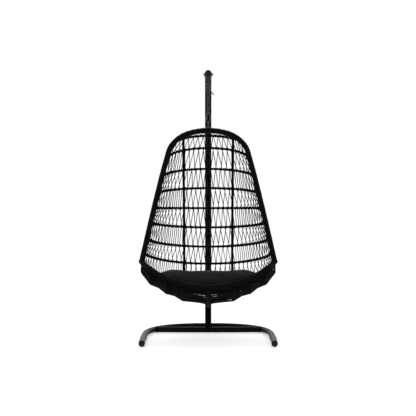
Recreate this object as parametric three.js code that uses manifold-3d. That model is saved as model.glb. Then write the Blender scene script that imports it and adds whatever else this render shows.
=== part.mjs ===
// Hanging egg chair: a wicker basket with a cushion, hung by a spring and a chain
// from a curved steel post on a horseshoe base.
// Millimetres, +Z up. The front of the chair faces -Y, and the origin is on the floor
// under the middle of the base.
import * as THREE from 'three';
import { mergeVertices } from 'three/addons/utils/BufferGeometryUtils.js';
import Module from 'manifold-3d';

const wasm = await Module();
wasm.setup();

// ---------- Clearances ----------
const SEAT_GAP = 0.3; // between pieces that are welded, or that rest on each other
const PIN_GAP = 0.3; // round the cross bolt, on the radius
const WIRE_GAP = 0.75; // between two bent wires that hang in each other

// ---------- Base ----------
const BASE_DEPTH = 1020; // front caps to the back of the tube
const BASE_HALF_WIDTH = 477.5; // tube centre at the widest
const BASE_WIDEST_Y = -50;
const BASE_SQUARENESS = 2.4; // exponent of the rear sweep, 2 would be an ellipse
const BASE_TOE_IN = 11;
const BASE_TUBE_RADIUS = 22.5;
const TUBE_WALL = 2;
const TUBE_SIDES = 12;
const BASE_STEPS = 28;
const CROSSBAR_STEPS = 6;
const CAP_THICKNESS = 4;
const CAP_PLUG_LENGTH = 18;
const GLIDE_SOLE = 6;
const GLIDE_WALL = 3.5;
const GLIDE_SOLE_WIDTH = 24;
const GLIDE_LENGTH = 60;
const GLIDE_FRONT_Y = -200;
const GLIDE_REAR_X = 250;
const CROSSBAR_Y = 262;
const CROSSBAR_BOW = 18; // how far its middle stands in front of its ends

// ---------- Post ----------
const POST_RADIUS = 25;
const POST_JOINT_Z = 820;
const POST_BULGE_Y = 345;
const ARM_Z = 1975; // tube centre at the front end
const ARM_END_Y = -172;
// Between joint and arm the post passes these shares of the way [back, up].
const POST_CURVE = [[0.984, 0.329], [0.856, 0.623], [0.576, 0.879], [0.3, 0.979]];
const ARM_STRAIGHT = 45; // length of its level end
const SPIGOT_LENGTH = 220;
const SPIGOT_WALL = 3;
const POST_BOLT_RISE = 60; // joint to the bolt
const POST_BOLT_RADIUS = 4;

// ---------- Hanger ----------
const HANG_Y = -130; // the line that spring, chain and basket hang on
const HANGER_BOLT_RADIUS = 4;
const BOLT_HEAD_RADIUS = 8;
const BOLT_HEAD_HEIGHT = 4;
const BOLT_TIP = 3; // the thread beyond a nut
const BAIL_ROD_RADIUS = 3;
const BAIL_EYE_RADIUS = 9;
const BAIL_EYE_WIDTH = 5;
const BAIL_BEND = 5.5; // half width of the bend at the bottom of the V
const BAIL_DROP = 45; // bolt to the rod at the bottom of the V
const SPRING_BAR_RADIUS = 2.5;
const SPRING_BAR_HALF_GAP = 7;
const SPRING_BAR_TOP_RISE = 22; // bail to the first curl
const SPRING_RADIUS = 13.4; // to the middle of the wire
const SPRING_WIRE_RADIUS = 2.2;
const SPRING_LENGTH = 60;
const SPRING_TURNS = 8.5;
const SPRING_HOOK_REACH = 17;
const SPRING_BAR_BEND = 4;
const SPRING_END_DIP = 0.8; // how far the end turn has dropped where a hook bears on it
const SPRING_TAIL = [36, -38]; // reach and rise of the hook that stands out on the right
const SPRING_BAR_FOOT_DROP = 9; // upper bar's hooks to the foot of the lower bar
const SPRING_FOOT_TURN = -30; // of the lower bar about the hanging line
const LINK_WIRE_RADIUS = 3;
const LINK_LENGTH = 53; // outside
const LINK_WIDTH = 24; // outside
const LINK_TURNS = [46, -46, 42, -54]; // of the links above the quick link
const LAST_LINK_TURN = -80;
const QUICK_WIRE_RADIUS = 3.5;
const QUICK_LENGTH = 74; // outside
const QUICK_WIDTH = 34; // outside
const QUICK_TURN = 22;
const QUICK_OPENING = 16;
const SLEEVE_RADIUS = 6.5;
const SLEEVE_LENGTH = 26;
const EYE_WIRE_RADIUS = 4; // the ring that basket and chain meet in
const EYE_WIDTH = 38; // outside
const EYE_LENGTH = 44; // outside

// ---------- Basket ----------
// Its heights count down from the middle of the rim tube at the top, and its depths run
// back from the rim tube there.
const BASKET_SET_BACK = -30; // rim tube at the top to the hanging line
const RIM_RADIUS = 18;
const LIP_RADIUS = 18;
const HOOP_RADIUS = 8;
const HOOP_SIDES = 6;
const RIB_RADIUS = 9;
const RIB_SEAT_DEPTH = 1.5; // how deep the hoops sit in a rib
const RIM_FOOT_SHARE = 0.97; // of the lip's half width
const LIP_HALF_WIDTH = 497;
const LIP_REACH = 268; // how far the middle of the lip stands in front of the rim's top
const LIP_DROP = 1137;
const LIP_RISE = 188; // middle to ends
const LIP_SWEEP = 130; // how far its ends lie behind its middle
const LIP_CURL = 0.26; // share of the rise that gathers at the ends
const BACK_DEPTH = 382; // rim top to the deepest part of the back
const KEEL_HALF_WIDTH = 490;
const KEEL_DEPTH = 62;
const KEEL_SWEEP = 200; // how far its ends lie in front of its middle
const KEEL_DROP = 1281;
const KEEL_SLOPE_RISE = 195; // middle to ends, along an even slope
const KEEL_SIDE_RISE = 76; // more of it, gathered at the ends
const RIB_X = 180;
const SIDE_RIB_X = [300, 412];

// Rim outline from foot to top: [share of the foot's half width, share of the height].
const RIM_OUTLINE = [[1, 0], [0.796, 0.455], [0.644, 0.762], [0.564, 0.88], [0.367, 0.964], [0, 1]];

// Back hoops from the top down. rim: share of the rim's height where it ends,
// back: share where its middle is, depth: share of BACK_DEPTH at its middle.
const BACK_HOOPS = [
  { rim: 0.882, back: 0.970, depth: 0.351 },
  { rim: 0.777, back: 0.881, depth: 0.622 },
  { rim: 0.638, back: 0.718, depth: 0.770 },
  { rim: 0.514, back: 0.565, depth: 0.878 },
  { rim: 0.405, back: 0.404, depth: 0.959 },
  { rim: 0.298, back: 0.248, depth: 1 },
  { rim: 0.177, back: 0.092, depth: 1 },
  { rim: 0.074, back: -0.045, depth: 0.959 },
];

// Bowl hoops by their turn from the lowest back hoop (0) under the keel (90) to the lip (180).
const BOWL_TURNS = [45, 90, 130];
const BOWL_REACH = [90, 78, 62]; // degrees along each hoop from its middle to its end

// ---------- Weave ----------
const STRAND_PITCH = 50;
const STRAND_HALF_WIDTH = 1.5;
const STRAND_DEPTH = [-1.2, -1.2, 1.8]; // of its three edges, outwards
const STRAND_GAP = 1.25; // to the inscribed circle of the tube it turns at

// ---------- Cushion ----------
const CUSHION_HALF_WIDTH = 385;
const CUSHION_LENGTH = 544;
const CUSHION_FRONT_GAP = 8; // to the lip
const CUSHION_FRONT_DROP = 1111; // rim top to its front edge
const CUSHION_BACK_DROP = 1058;
const CUSHION_CROWN = 32;
const CUSHION_SQUARENESS = 2.6;
const CUSHION_THICKNESS = 150; // at its middle
const CUSHION_EDGE = 45; // at its rim

// ---------- Materials ----------
const finish = (color, roughness, metalness) =>
  new THREE.MeshStandardMaterial({ color, roughness, metalness });
const STEEL = finish(0x1c1c1e, 0.35, 0.6);
const PLASTIC = finish(0x242424, 0.5, 0);
const ZINC = finish(0x6f7072, 0.35, 0.9);
const WICKER = finish(0x171717, 0.55, 0);
const FABRIC = finish(0x37383a, 0.95, 0);

const chair = new THREE.Group();

function add(name, geometry, material) {
  const mesh = new THREE.Mesh(geometry, material);
  mesh.name = name;
  chair.add(mesh);
  return mesh;
}

// ---------- Curves, tubes and solids ----------
const vec = (x, y, z) => new THREE.Vector3(x, y, z);
const lerp = THREE.MathUtils.lerp;
const radians = THREE.MathUtils.degToRad;

class FormulaCurve extends THREE.Curve {
  constructor(pointAt) {
    super();
    this.pointAt = pointAt;
  }

  getPoint(t, target = new THREE.Vector3()) {
    return target.copy(this.pointAt(t));
  }
}

const spline = (points) => new THREE.CatmullRomCurve3(points, false, 'centripetal');

function ring(radius, sides) {
  const points = [];
  for (let i = 0; i < sides; i += 1) {
    const angle = (2 * Math.PI * i) / sides;
    points.push(new THREE.Vector2(radius * Math.cos(angle), radius * Math.sin(angle)));
  }
  return points;
}

function tube(path, radius, sides, steps, bore = 0) {
  const section = new THREE.Shape(ring(radius, sides));
  if (bore > 0) section.holes.push(new THREE.Path(ring(bore, sides).reverse()));
  return new THREE.ExtrudeGeometry(section, { steps, extrudePath: path, bevelEnabled: false });
}

function toSolid(geometry) {
  const bare = geometry.clone();
  bare.deleteAttribute('normal');
  bare.deleteAttribute('uv');
  const merged = mergeVertices(bare, 1e-4);
  return new wasm.Manifold(new wasm.Mesh({
    numProp: 3,
    vertProperties: new Float32Array(merged.attributes.position.array),
    triVerts: new Uint32Array(merged.index.array),
  }));
}

function toGeometry(solid) {
  const { vertProperties, triVerts } = solid.getMesh();
  const geometry = new THREE.BufferGeometry();
  geometry.setAttribute('position', new THREE.BufferAttribute(vertProperties, 3));
  geometry.setIndex(new THREE.BufferAttribute(triVerts, 1));
  return geometry;
}

const join = (first, ...rest) =>
  toGeometry(rest.reduce((sum, geometry) => sum.add(toSolid(geometry)), toSolid(first)));
const cut = (first, ...tools) =>
  toGeometry(tools.reduce((left, geometry) => left.subtract(toSolid(geometry)), toSolid(first)));

// A cylinder about X, Y or Z with its middle at the given place.
function rod(radius, length, axis, place, sides = 12) {
  const geometry = new THREE.CylinderGeometry(radius, radius, length, sides);
  if (axis === 'x') geometry.rotateZ(Math.PI / 2);
  if (axis === 'z') geometry.rotateX(Math.PI / 2);
  return geometry.translate(place.x, place.y, place.z);
}

// A closed body through rings of equally many points, with flat or pointed ends.
function loft(rings) {
  const sides = rings[0].length;
  const positions = rings.flat().flatMap((p) => [p.x, p.y, p.z]);
  const index = [];
  for (let r = 0; r + 1 < rings.length; r += 1) {
    for (let s = 0; s < sides; s += 1) {
      const a = r * sides + s;
      const b = r * sides + ((s + 1) % sides);
      index.push(a, b, b + sides, a, b + sides, a + sides);
    }
  }
  const last = (rings.length - 1) * sides;
  for (let s = 1; s + 1 < sides; s += 1) {
    index.push(0, s + 1, s);
    index.push(last, last + s, last + s + 1);
  }
  const geometry = new THREE.BufferGeometry();
  geometry.setAttribute('position', new THREE.Float32BufferAttribute(positions, 3));
  geometry.setIndex(signedVolume(positions, index) > 0 ? index : index.reverse());
  return geometry;
}

function signedVolume(positions, index) {
  const corner = (i) => vec(...positions.slice(3 * index[i], 3 * index[i] + 3));
  let volume = 0;
  for (let i = 0; i < index.length; i += 3) {
    volume += corner(i).dot(corner(i + 1).cross(corner(i + 2))) / 6;
  }
  return volume;
}

// ---------- Base ----------
const baseZ = GLIDE_SOLE + BASE_TUBE_RADIUS;
const baseTipY = -BASE_DEPTH / 2 + CAP_THICKNESS;
const baseRearY = BASE_DEPTH / 2 - BASE_TUBE_RADIUS;

// Tube centre at an angle round the rear sweep, 0 on the right to 180 degrees on the left.
function sweepPoint(angle) {
  const power = 2 / BASE_SQUARENESS;
  const across = Math.sign(Math.cos(angle)) * Math.abs(Math.cos(angle)) ** power;
  const back = Math.abs(Math.sin(angle)) ** power;
  return vec(BASE_HALF_WIDTH * across, lerp(BASE_WIDEST_Y, baseRearY, back), baseZ);
}

// Tube centre along one arm, 0 at its tip to 1 where the sweep starts.
function armPoint(share, side) {
  const toe = BASE_TOE_IN * (1 - share) ** 2;
  return vec(side * (BASE_HALF_WIDTH - toe), lerp(baseTipY, BASE_WIDEST_Y, share), baseZ);
}

const basePath = new FormulaCurve((t) => {
  if (t < 0.25) return armPoint(t / 0.25, 1);
  if (t > 0.75) return armPoint((1 - t) / 0.25, -1);
  return sweepPoint(((t - 0.25) / 0.5) * Math.PI);
});
// The crossbar runs into the base tube, short of its middle line.
const crossbarHalf = BASE_HALF_WIDTH
  * (1 - ((CROSSBAR_Y - BASE_WIDEST_Y) / (baseRearY - BASE_WIDEST_Y)) ** BASE_SQUARENESS)
  ** (1 / BASE_SQUARENESS) - BASE_TUBE_RADIUS / 2;
const crossbarPath = new FormulaCurve((t) => {
  const across = 2 * t - 1;
  return vec(crossbarHalf * across, CROSSBAR_Y - CROSSBAR_BOW * (1 - across ** 2), baseZ);
});
const crossbarMiddle = crossbarPath.getPoint(0.5);

function cap(outerRadius) {
  const plug = (outerRadius - TUBE_WALL) * Math.cos(Math.PI / TUBE_SIDES) - 3 * SEAT_GAP;
  const edge = 0.4 * CAP_THICKNESS;
  return new THREE.LatheGeometry([
    new THREE.Vector2(0, -CAP_PLUG_LENGTH),
    new THREE.Vector2(plug, -CAP_PLUG_LENGTH),
    new THREE.Vector2(plug, SEAT_GAP),
    new THREE.Vector2(outerRadius, SEAT_GAP),
    new THREE.Vector2(outerRadius, edge),
    new THREE.Vector2(0.75 * outerRadius, 0.85 * CAP_THICKNESS),
    new THREE.Vector2(0, CAP_THICKNESS),
  ], 16);
}

// A plastic saddle round the lower half of the tube, with a flat sole on the floor.
function glide() {
  const outer = BASE_TUBE_RADIUS + GLIDE_WALL;
  const wall = [180, 200, 220, 240].map(radians).map((angle) =>
    new THREE.Vector2(outer * Math.cos(angle), outer * Math.sin(angle)));
  const half = [...wall, new THREE.Vector2(-GLIDE_SOLE_WIDTH / 2, -baseZ)];
  const outline = [...half, ...half.map((p) => new THREE.Vector2(-p.x, p.y)).reverse()];
  const body = new THREE.ExtrudeGeometry(new THREE.Shape(outline), { depth: GLIDE_LENGTH, bevelEnabled: false });
  return body.translate(0, 0, -GLIDE_LENGTH / 2).rotateX(Math.PI / 2);
}

function addGlide(name, place, next, welded) {
  const body = glide().rotateZ(Math.atan2(next.y - place.y, next.x - place.x) - Math.PI / 2);
  add(name, cut(body.translate(place.x, place.y, place.z), welded), PLASTIC);
}

function buildBase() {
  const bore = BASE_TUBE_RADIUS - TUBE_WALL;
  add('base_tube', tube(basePath, BASE_TUBE_RADIUS, TUBE_SIDES, BASE_STEPS, bore), STEEL);
  const welded = tube(basePath, BASE_TUBE_RADIUS + SEAT_GAP, TUBE_SIDES, BASE_STEPS);
  const bar = tube(crossbarPath, BASE_TUBE_RADIUS, TUBE_SIDES, CROSSBAR_STEPS, bore);
  add('crossbar', cut(bar, welded), STEEL);
  for (const [side, name] of [[-1, 'left'], [1, 'right']]) {
    const plug = add(`base_cap_${name}`, cap(BASE_TUBE_RADIUS), PLASTIC);
    plug.position.copy(armPoint(0, side));
    plug.rotation.z = Math.atan2(side * 2 * BASE_TOE_IN, BASE_WIDEST_Y - baseTipY) * -1;
    plug.rotateX(Math.PI);
    const share = (GLIDE_FRONT_Y - baseTipY) / (BASE_WIDEST_Y - baseTipY);
    addGlide(`glide_front_${name}`, armPoint(share, side), armPoint(share + 0.01, side), welded);
    const angle = Math.acos(side * (GLIDE_REAR_X / BASE_HALF_WIDTH) ** (BASE_SQUARENESS / 2));
    addGlide(`glide_rear_${name}`, sweepPoint(angle), sweepPoint(angle + 0.01), welded);
  }
}

// ---------- Post ----------
const hangerPlace = vec(0, HANG_Y, ARM_Z);
const postPath = spline([
  crossbarMiddle,
  vec(0, lerp(crossbarMiddle.y, POST_BULGE_Y, 0.65), lerp(crossbarMiddle.z, POST_JOINT_Z, 0.47)),
  vec(0, POST_BULGE_Y, POST_JOINT_Z),
  ...POST_CURVE.map(([back, up]) =>
    vec(0, lerp(ARM_END_Y, POST_BULGE_Y, back), lerp(POST_JOINT_Z, ARM_Z, up))),
  vec(0, ARM_END_Y + ARM_STRAIGHT, ARM_Z),
  vec(0, ARM_END_Y, ARM_Z),
]);

// The share of the post's length at which it reaches a height.
function postShareAt(z) {
  let low = 0;
  let high = 0.8;
  for (let i = 0; i < 40; i += 1) {
    const middle = (low + high) / 2;
    if (postPath.getPointAt(middle).z < z) low = middle;
    else high = middle;
  }
  return low;
}

const stretch = (path, from, to) => new FormulaCurve((t) => path.getPointAt(lerp(from, to, t)));

// The spigot is welded into the lower length, and one bolt holds the upper length on it.
function buildPost() {
  const bore = POST_RADIUS - TUBE_WALL;
  const length = postPath.getLength();
  const split = postShareAt(POST_JOINT_Z);
  const gap = SEAT_GAP / 2 / length;
  const crossbarWeld = tube(crossbarPath, BASE_TUBE_RADIUS + SEAT_GAP, TUBE_SIDES, CROSSBAR_STEPS);
  const half = SPIGOT_LENGTH / 2 / length;
  const boltPlace = postPath.getPointAt(split + POST_BOLT_RISE / length);
  const boltHole = rod(POST_BOLT_RADIUS + PIN_GAP, 3 * POST_RADIUS, 'y', boltPlace);
  const hangerHole = rod(HANGER_BOLT_RADIUS + PIN_GAP, 3 * POST_RADIUS, 'x', hangerPlace);

  const lower = tube(stretch(postPath, 0, split - gap), POST_RADIUS, TUBE_SIDES, 8, bore);
  add('post_lower', cut(lower, crossbarWeld), STEEL);
  const upper = tube(stretch(postPath, split + gap, 1), POST_RADIUS, TUBE_SIDES, 18, bore);
  add('post_upper', cut(upper, boltHole, hangerHole), STEEL);
  const spigotPath = stretch(postPath, split - half, split + half);
  const spigotRadius = bore - 2 * SEAT_GAP;
  const spigot = tube(spigotPath, spigotRadius, TUBE_SIDES, 4, spigotRadius - SPIGOT_WALL);
  add('post_spigot', cut(spigot, boltHole), STEEL);

  const reach = POST_RADIUS + SEAT_GAP + BOLT_HEAD_HEIGHT / 2;
  const onSide = (side) => boltPlace.clone().setY(boltPlace.y + side * reach);
  const shank = rod(POST_BOLT_RADIUS, 2 * (reach + BOLT_TIP) + BOLT_HEAD_HEIGHT, 'y', boltPlace);
  const ends = [-1, 1].map((side) => rod(BOLT_HEAD_RADIUS, BOLT_HEAD_HEIGHT, 'y', onSide(side), 6));
  add('post_bolt', join(shank, ...ends), ZINC);

  const plug = add('arm_end_cap', cap(POST_RADIUS), PLASTIC);
  plug.position.set(0, ARM_END_Y, ARM_Z);
  plug.rotation.x = Math.PI;
}

// ---------- Hanger ----------
const bailBottomZ = ARM_Z - BAIL_DROP;
const bailEyeX = POST_RADIUS + 2 * SEAT_GAP + BAIL_EYE_WIDTH / 2;
const seat = (a, b) => a + b + SEAT_GAP; // centre to centre of two rods that touch

function buildBail() {
  const eyes = [-1, 1].map((side) => {
    const place = hangerPlace.clone().setX(side * bailEyeX);
    return cut(
      rod(BAIL_EYE_RADIUS, BAIL_EYE_WIDTH, 'x', place, 12),
      rod(HANGER_BOLT_RADIUS + PIN_GAP, 2 * BAIL_EYE_WIDTH, 'x', place),
    );
  });
  const shoulderZ = ARM_Z - BAIL_EYE_RADIUS;
  const right = [
    vec(BAIL_BEND, HANG_Y, bailBottomZ + 0.1 * BAIL_BEND),
    vec(0.6 * bailEyeX, HANG_Y, lerp(bailBottomZ, shoulderZ, 0.33)),
    vec(0.95 * bailEyeX, HANG_Y, lerp(bailBottomZ, shoulderZ, 0.86)),
    vec(bailEyeX, HANG_Y, shoulderZ + BAIL_ROD_RADIUS),
  ];
  const left = right.map((point) => vec(-point.x, point.y, point.z)).reverse();
  const rodPath = spline([...left, vec(0, HANG_Y, bailBottomZ), ...right]);
  add('hanger_bail', join(tube(rodPath, BAIL_ROD_RADIUS, 8, 16), ...eyes), ZINC);

  const eyeFace = bailEyeX + BAIL_EYE_WIDTH / 2 + 2 * SEAT_GAP;
  const headPlace = hangerPlace.clone().setX(-eyeFace - BOLT_HEAD_HEIGHT / 2);
  const shankEnd = eyeFace + BOLT_HEAD_HEIGHT + BOLT_TIP;
  const shankPlace = hangerPlace.clone().setX((shankEnd - eyeFace) / 2);
  const shank = rod(HANGER_BOLT_RADIUS, shankEnd + eyeFace, 'x', shankPlace);
  add('hanger_bolt', join(shank, rod(BOLT_HEAD_RADIUS, BOLT_HEAD_HEIGHT, 'x', headPlace, 6)), ZINC);
  const nutPlace = hangerPlace.clone().setX(eyeFace + BOLT_HEAD_HEIGHT / 2);
  const nut = cut(
    rod(BOLT_HEAD_RADIUS, BOLT_HEAD_HEIGHT, 'x', nutPlace, 6),
    rod(HANGER_BOLT_RADIUS + SEAT_GAP, 2 * BOLT_HEAD_HEIGHT, 'x', nutPlace),
  );
  add('hanger_nut', nut, ZINC);
}

const upperBarTopZ = bailBottomZ + BAIL_ROD_RADIUS + SPRING_BAR_RADIUS + WIRE_GAP;
const springTopZ = bailBottomZ - SPRING_BAR_TOP_RISE + SPRING_WIRE_RADIUS;
const springBottomZ = springTopZ - SPRING_LENGTH;
const springSeat = SPRING_WIRE_RADIUS + SPRING_BAR_RADIUS - SPRING_END_DIP;
const upperBarHookZ = springBottomZ - springSeat;
const lowerBarHookZ = springTopZ + springSeat;
const lowerBarFootZ = upperBarHookZ - SPRING_BAR_FOOT_DROP;

// A U of wire round `bendZ`. Its legs run through the bore of the spring, and turn out
// square to the U, to the side that `hand` gives, into hooks at `hookZ` that bear on the
// spring's end. `tail` lengthens the last hook.
function springBar(bendZ, hookZ, hand, tail = []) {
  const up = Math.sign(bendZ - hookZ);
  const gap = SPRING_BAR_HALF_GAP;
  const bend = SPRING_BAR_BEND;
  const arc = [];
  for (let angle = 180; angle >= 0; angle -= 30) {
    const height = gap * (1 - Math.sin(radians(angle)));
    arc.push(vec(0, gap * Math.cos(radians(angle)), bendZ - up * height));
  }
  return tube(spline([
    vec(-hand * SPRING_HOOK_REACH, -gap, hookZ),
    vec(-hand * bend, -gap, hookZ),
    vec(0, -gap, hookZ + up * bend),
    vec(0, -gap, hookZ + up * 3 * bend),
    vec(0, -gap, bendZ - up * 2 * gap),
    ...arc,
    vec(0, gap, bendZ - up * 2 * gap),
    vec(0, gap, hookZ + up * 3 * bend),
    vec(0, gap, hookZ + up * bend),
    vec(hand * bend, gap, hookZ),
    vec(hand * SPRING_HOOK_REACH, gap, hookZ),
    ...tail,
  ]), SPRING_BAR_RADIUS, 6, 32);
}

function spring() {
  const stepsPerTurn = 8;
  const steps = Math.round(SPRING_TURNS * stepsPerTurn);
  const rings = [];
  const centres = [];
  for (let i = 0; i <= steps; i += 1) {
    const angle = (2 * Math.PI * i) / stepsPerTurn;
    const z = lerp(springTopZ, springBottomZ, i / steps);
    const outward = vec(Math.cos(angle), Math.sin(angle), 0);
    const centre = outward.clone().multiplyScalar(SPRING_RADIUS).add(vec(0, HANG_Y, z));
    centres.push(centre);
    rings.push(ring(SPRING_WIRE_RADIUS, 5).map((p) =>
      centre.clone().addScaledVector(outward, p.x).add(vec(0, 0, p.y))));
  }
  let gap = Infinity;
  for (let i = 0; i < centres.length; i += 1) {
    for (let j = i + stepsPerTurn / 2; j < centres.length; j += 1) {
      gap = Math.min(gap, centres[i].distanceTo(centres[j]) - 2 * SPRING_WIRE_RADIUS);
    }
  }
  console.log(`least gap of the spring to itself: ${gap.toFixed(2)} mm`);
  return loft(rings);
}

// A straight-sided loop of wire about the hanging line, in the XZ plane, from its top centre.
function loopPath(width, length, wireRadius) {
  const round = width / 2 - wireRadius;
  const straight = length / 2 - wireRadius - round;
  const quarter = (Math.PI / 2) * round;
  const total = 4 * quarter + 4 * straight;
  return new FormulaCurve((t) => {
    const distance = (t % 1) * total;
    const half = distance < total / 2 ? 1 : -1;
    const along = distance % (total / 2);
    let x = 0;
    let z = 0;
    if (along < quarter) {
      x = round * Math.sin(along / round);
      z = straight + round * Math.cos(along / round);
    } else if (along < quarter + 2 * straight) {
      x = round;
      z = straight - (along - quarter);
    } else {
      const turn = (along - quarter - 2 * straight) / round;
      x = round * Math.cos(turn);
      z = -straight - round * Math.sin(turn);
    }
    return vec(half * x, 0, half * z);
  });
}

function wireLoop(width, length, wireRadius, steps) {
  const geometry = new THREE.TubeGeometry(loopPath(width, length, wireRadius), steps, wireRadius, 6, true);
  return toGeometry(toSolid(geometry));
}


// The quick link is open on its left side, where the screw sleeve bridges it.
function buildQuickLink(place, turn) {
  const loop = wireLoop(QUICK_WIDTH, QUICK_LENGTH, QUICK_WIRE_RADIUS, 20);
  const side = vec(QUICK_WIRE_RADIUS - QUICK_WIDTH / 2, 0, 0);
  const opening = new THREE.BoxGeometry(3 * QUICK_WIRE_RADIUS, 3 * QUICK_WIRE_RADIUS, QUICK_OPENING);
  const link = add('quick_link', cut(loop, opening.translate(side.x, 0, 0)), ZINC);
  const sleeve = cut(
    rod(SLEEVE_RADIUS, SLEEVE_LENGTH, 'z', side, 6),
    rod(QUICK_WIRE_RADIUS + SEAT_GAP, 2 * SLEEVE_LENGTH, 'z', side),
  );
  for (const piece of [link, add('quick_link_sleeve', sleeve, ZINC)]) {
    piece.position.copy(place);
    piece.rotation.z = radians(turn);
  }
}

// Where a loop of a given length hangs from the wire above it.
function hang(above, length, wireRadius) {
  const topZ = above.z + above.wireRadius + wireRadius + WIRE_GAP;
  const bottomZ = topZ - (length - 2 * wireRadius);
  return { place: vec(0, HANG_Y, (topZ + bottomZ) / 2), below: { z: bottomZ, wireRadius } };
}

function buildLink(name, above, turn) {
  const { place, below } = hang(above, LINK_LENGTH, LINK_WIRE_RADIUS);
  const link = add(name, wireLoop(LINK_WIDTH, LINK_LENGTH, LINK_WIRE_RADIUS, 18), ZINC);
  link.position.copy(place);
  link.rotation.z = radians(turn);
  return below;
}

// Builds spring, chain and eye from the bail down, and returns the eye's lower wire.
function buildHanger() {
  const tail = vec(SPRING_TAIL[0], SPRING_BAR_HALF_GAP, upperBarHookZ + SPRING_TAIL[1]);
  const upperBar = add('spring_upper_bar', springBar(upperBarTopZ, upperBarHookZ, 1, [tail]), ZINC);
  upperBar.position.y = HANG_Y;
  add('spring', spring(), ZINC);
  const lowerBar = add('spring_lower_bar', springBar(lowerBarFootZ, lowerBarHookZ, -1), ZINC);
  lowerBar.position.y = HANG_Y;
  lowerBar.rotation.z = Math.PI / 2 + radians(SPRING_FOOT_TURN);

  let above = { z: lowerBarFootZ, wireRadius: SPRING_BAR_RADIUS };
  LINK_TURNS.forEach((turn, i) => {
    above = buildLink(`chain_link_${i + 1}`, above, turn);
  });
  const quick = hang(above, QUICK_LENGTH, QUICK_WIRE_RADIUS);
  buildQuickLink(quick.place, QUICK_TURN);
  above = buildLink(`chain_link_${LINK_TURNS.length + 1}`, quick.below, LAST_LINK_TURN);
  const eye = hang(above, EYE_LENGTH, EYE_WIRE_RADIUS);
  add('basket_eye', wireLoop(EYE_WIDTH, EYE_LENGTH, EYE_WIRE_RADIUS, 16), ZINC).position.copy(eye.place);
  return eye.below;
}

// ---------- Basket ----------
const basket = new THREE.Group();

function addToBasket(name, geometry, material) {
  basket.add(add(name, geometry, material));
}

// The lip, from -1 at its left end to 1 at its right end.
function lipPoint(share) {
  const square = share ** 2;
  const rise = LIP_RISE * ((1 - LIP_CURL) * square + LIP_CURL * square ** 2);
  return vec(LIP_HALF_WIDTH * share, LIP_SWEEP * square - LIP_REACH, rise - LIP_DROP);
}

const rimFoot = lipPoint(RIM_FOOT_SHARE);
const rimPoints = RIM_OUTLINE.map(([across, up]) =>
  vec(rimFoot.x * across, rimFoot.y * (1 - up), rimFoot.z * (1 - up)));
// The rim ends inside the lip, short of its middle line.
rimPoints[0].lerp(rimPoints[1], LIP_RADIUS / 2 / rimPoints[0].distanceTo(rimPoints[1]));
const mirrored = (point) => vec(-point.x, point.y, point.z);
const rimPath = spline([...rimPoints, ...rimPoints.slice(0, -1).map(mirrored).reverse()]);
const lipPath = new FormulaCurve((t) => lipPoint(2 * t - 1));

// The point of the rim's right half where a measure that falls or grows from foot to top
// reaches a value.
function rimPointWhere(measure, value) {
  let low = 0;
  let high = 0.5;
  const rising = measure(rimPath.getPoint(high)) > measure(rimPath.getPoint(low));
  for (let i = 0; i < 40; i += 1) {
    const middle = (low + high) / 2;
    if (measure(rimPath.getPoint(middle)) < value === rising) low = middle;
    else high = middle;
  }
  return rimPath.getPoint(low);
}

// A row runs from its left end (-1) through the middle of the back to its right end (1).
function backRow({ rim, back, depth }) {
  const end = rimPointWhere((p) => p.z, rimFoot.z * (1 - rim));
  const middle = vec(0, BACK_DEPTH * depth, rimFoot.z * (1 - back));
  return (share) => {
    const inward = Math.sqrt(Math.max(0, 1 - share ** 2));
    return vec(end.x * share, lerp(end.y, middle.y, inward), lerp(end.z, middle.z, inward));
  };
}

const backRows = BACK_HOOPS.map(backRow);
const lowestBackRow = backRows[backRows.length - 1];

// The lowest line of the bowl, from side to side.
function keelPoint(share) {
  const side = 1 - Math.sqrt(Math.max(0, 1 - share ** 2));
  const rise = KEEL_SLOPE_RISE * Math.abs(share) ** 1.5 + KEEL_SIDE_RISE * side ** 2;
  return vec(KEEL_HALF_WIDTH * share, KEEL_DEPTH - KEEL_SWEEP * side, rise - KEEL_DROP);
}

// Bowl rows lie on quarter ellipses from the lowest back hoop to the keel, and from there
// up to the lip.
const bowlRow = (turn) => (share) => {
  const keel = keelPoint(share);
  const edge = turn < 90 ? lowestBackRow(share) : lipPoint(share);
  const down = Math.sin(radians(turn));
  const out = Math.abs(Math.cos(radians(turn)));
  return vec(lerp(edge.x, keel.x, down), lerp(keel.y, edge.y, out), lerp(edge.z, keel.z, down));
};

const rows = [...backRows, ...BOWL_TURNS.map(bowlRow)];
const rowReach = [...backRows.map(() => 90), ...BOWL_REACH];
const rimRow = (share) => rimPointWhere((p) => -p.x, -Math.abs(share) * rows[0](1).x * 0.999)
  .multiply(vec(Math.sign(share) || 1, 1, 1));
const rowsToLip = [rimRow, ...rows, lipPoint];

// The outward direction of the basket's wall where row `index` of rowsToLip passes a share.
function outward(index, share) {
  const step = 0.01;
  const here = rowsToLip[index](share);
  const along = rowsToLip[index](share + step).sub(rowsToLip[index](share - step));
  const sameX = (other) => {
    const row = rowsToLip[other];
    const across = row ? here.x / row(1).x : 2;
    return Math.abs(across) < 1 ? row(across) : here.clone();
  };
  const normal = along.cross(sameX(index + 1).sub(sameX(index - 1))).normalize();
  const middle = vec(0, 0, rimFoot.z * 0.6);
  return normal.dot(here.sub(middle)) < 0 ? normal.negate() : normal;
}

const rim = tube(rimPath, RIM_RADIUS, 10, 30);
const lipRod = tube(lipPath, LIP_RADIUS, 10, 22);
const rimWeld = tube(rimPath, RIM_RADIUS + SEAT_GAP, 10, 30);
const lipWeld = tube(lipPath, LIP_RADIUS + SEAT_GAP, 10, 22);

function hoopTube(i, extra = 0) {
  const reach = radians(rowReach[i]);
  const path = new FormulaCurve((t) => rows[i](Math.sin(lerp(-reach, reach, t))));
  return tube(path, HOOP_RADIUS + extra, HOOP_SIDES, i === backRows.length ? 22 : 16);
}

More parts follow.
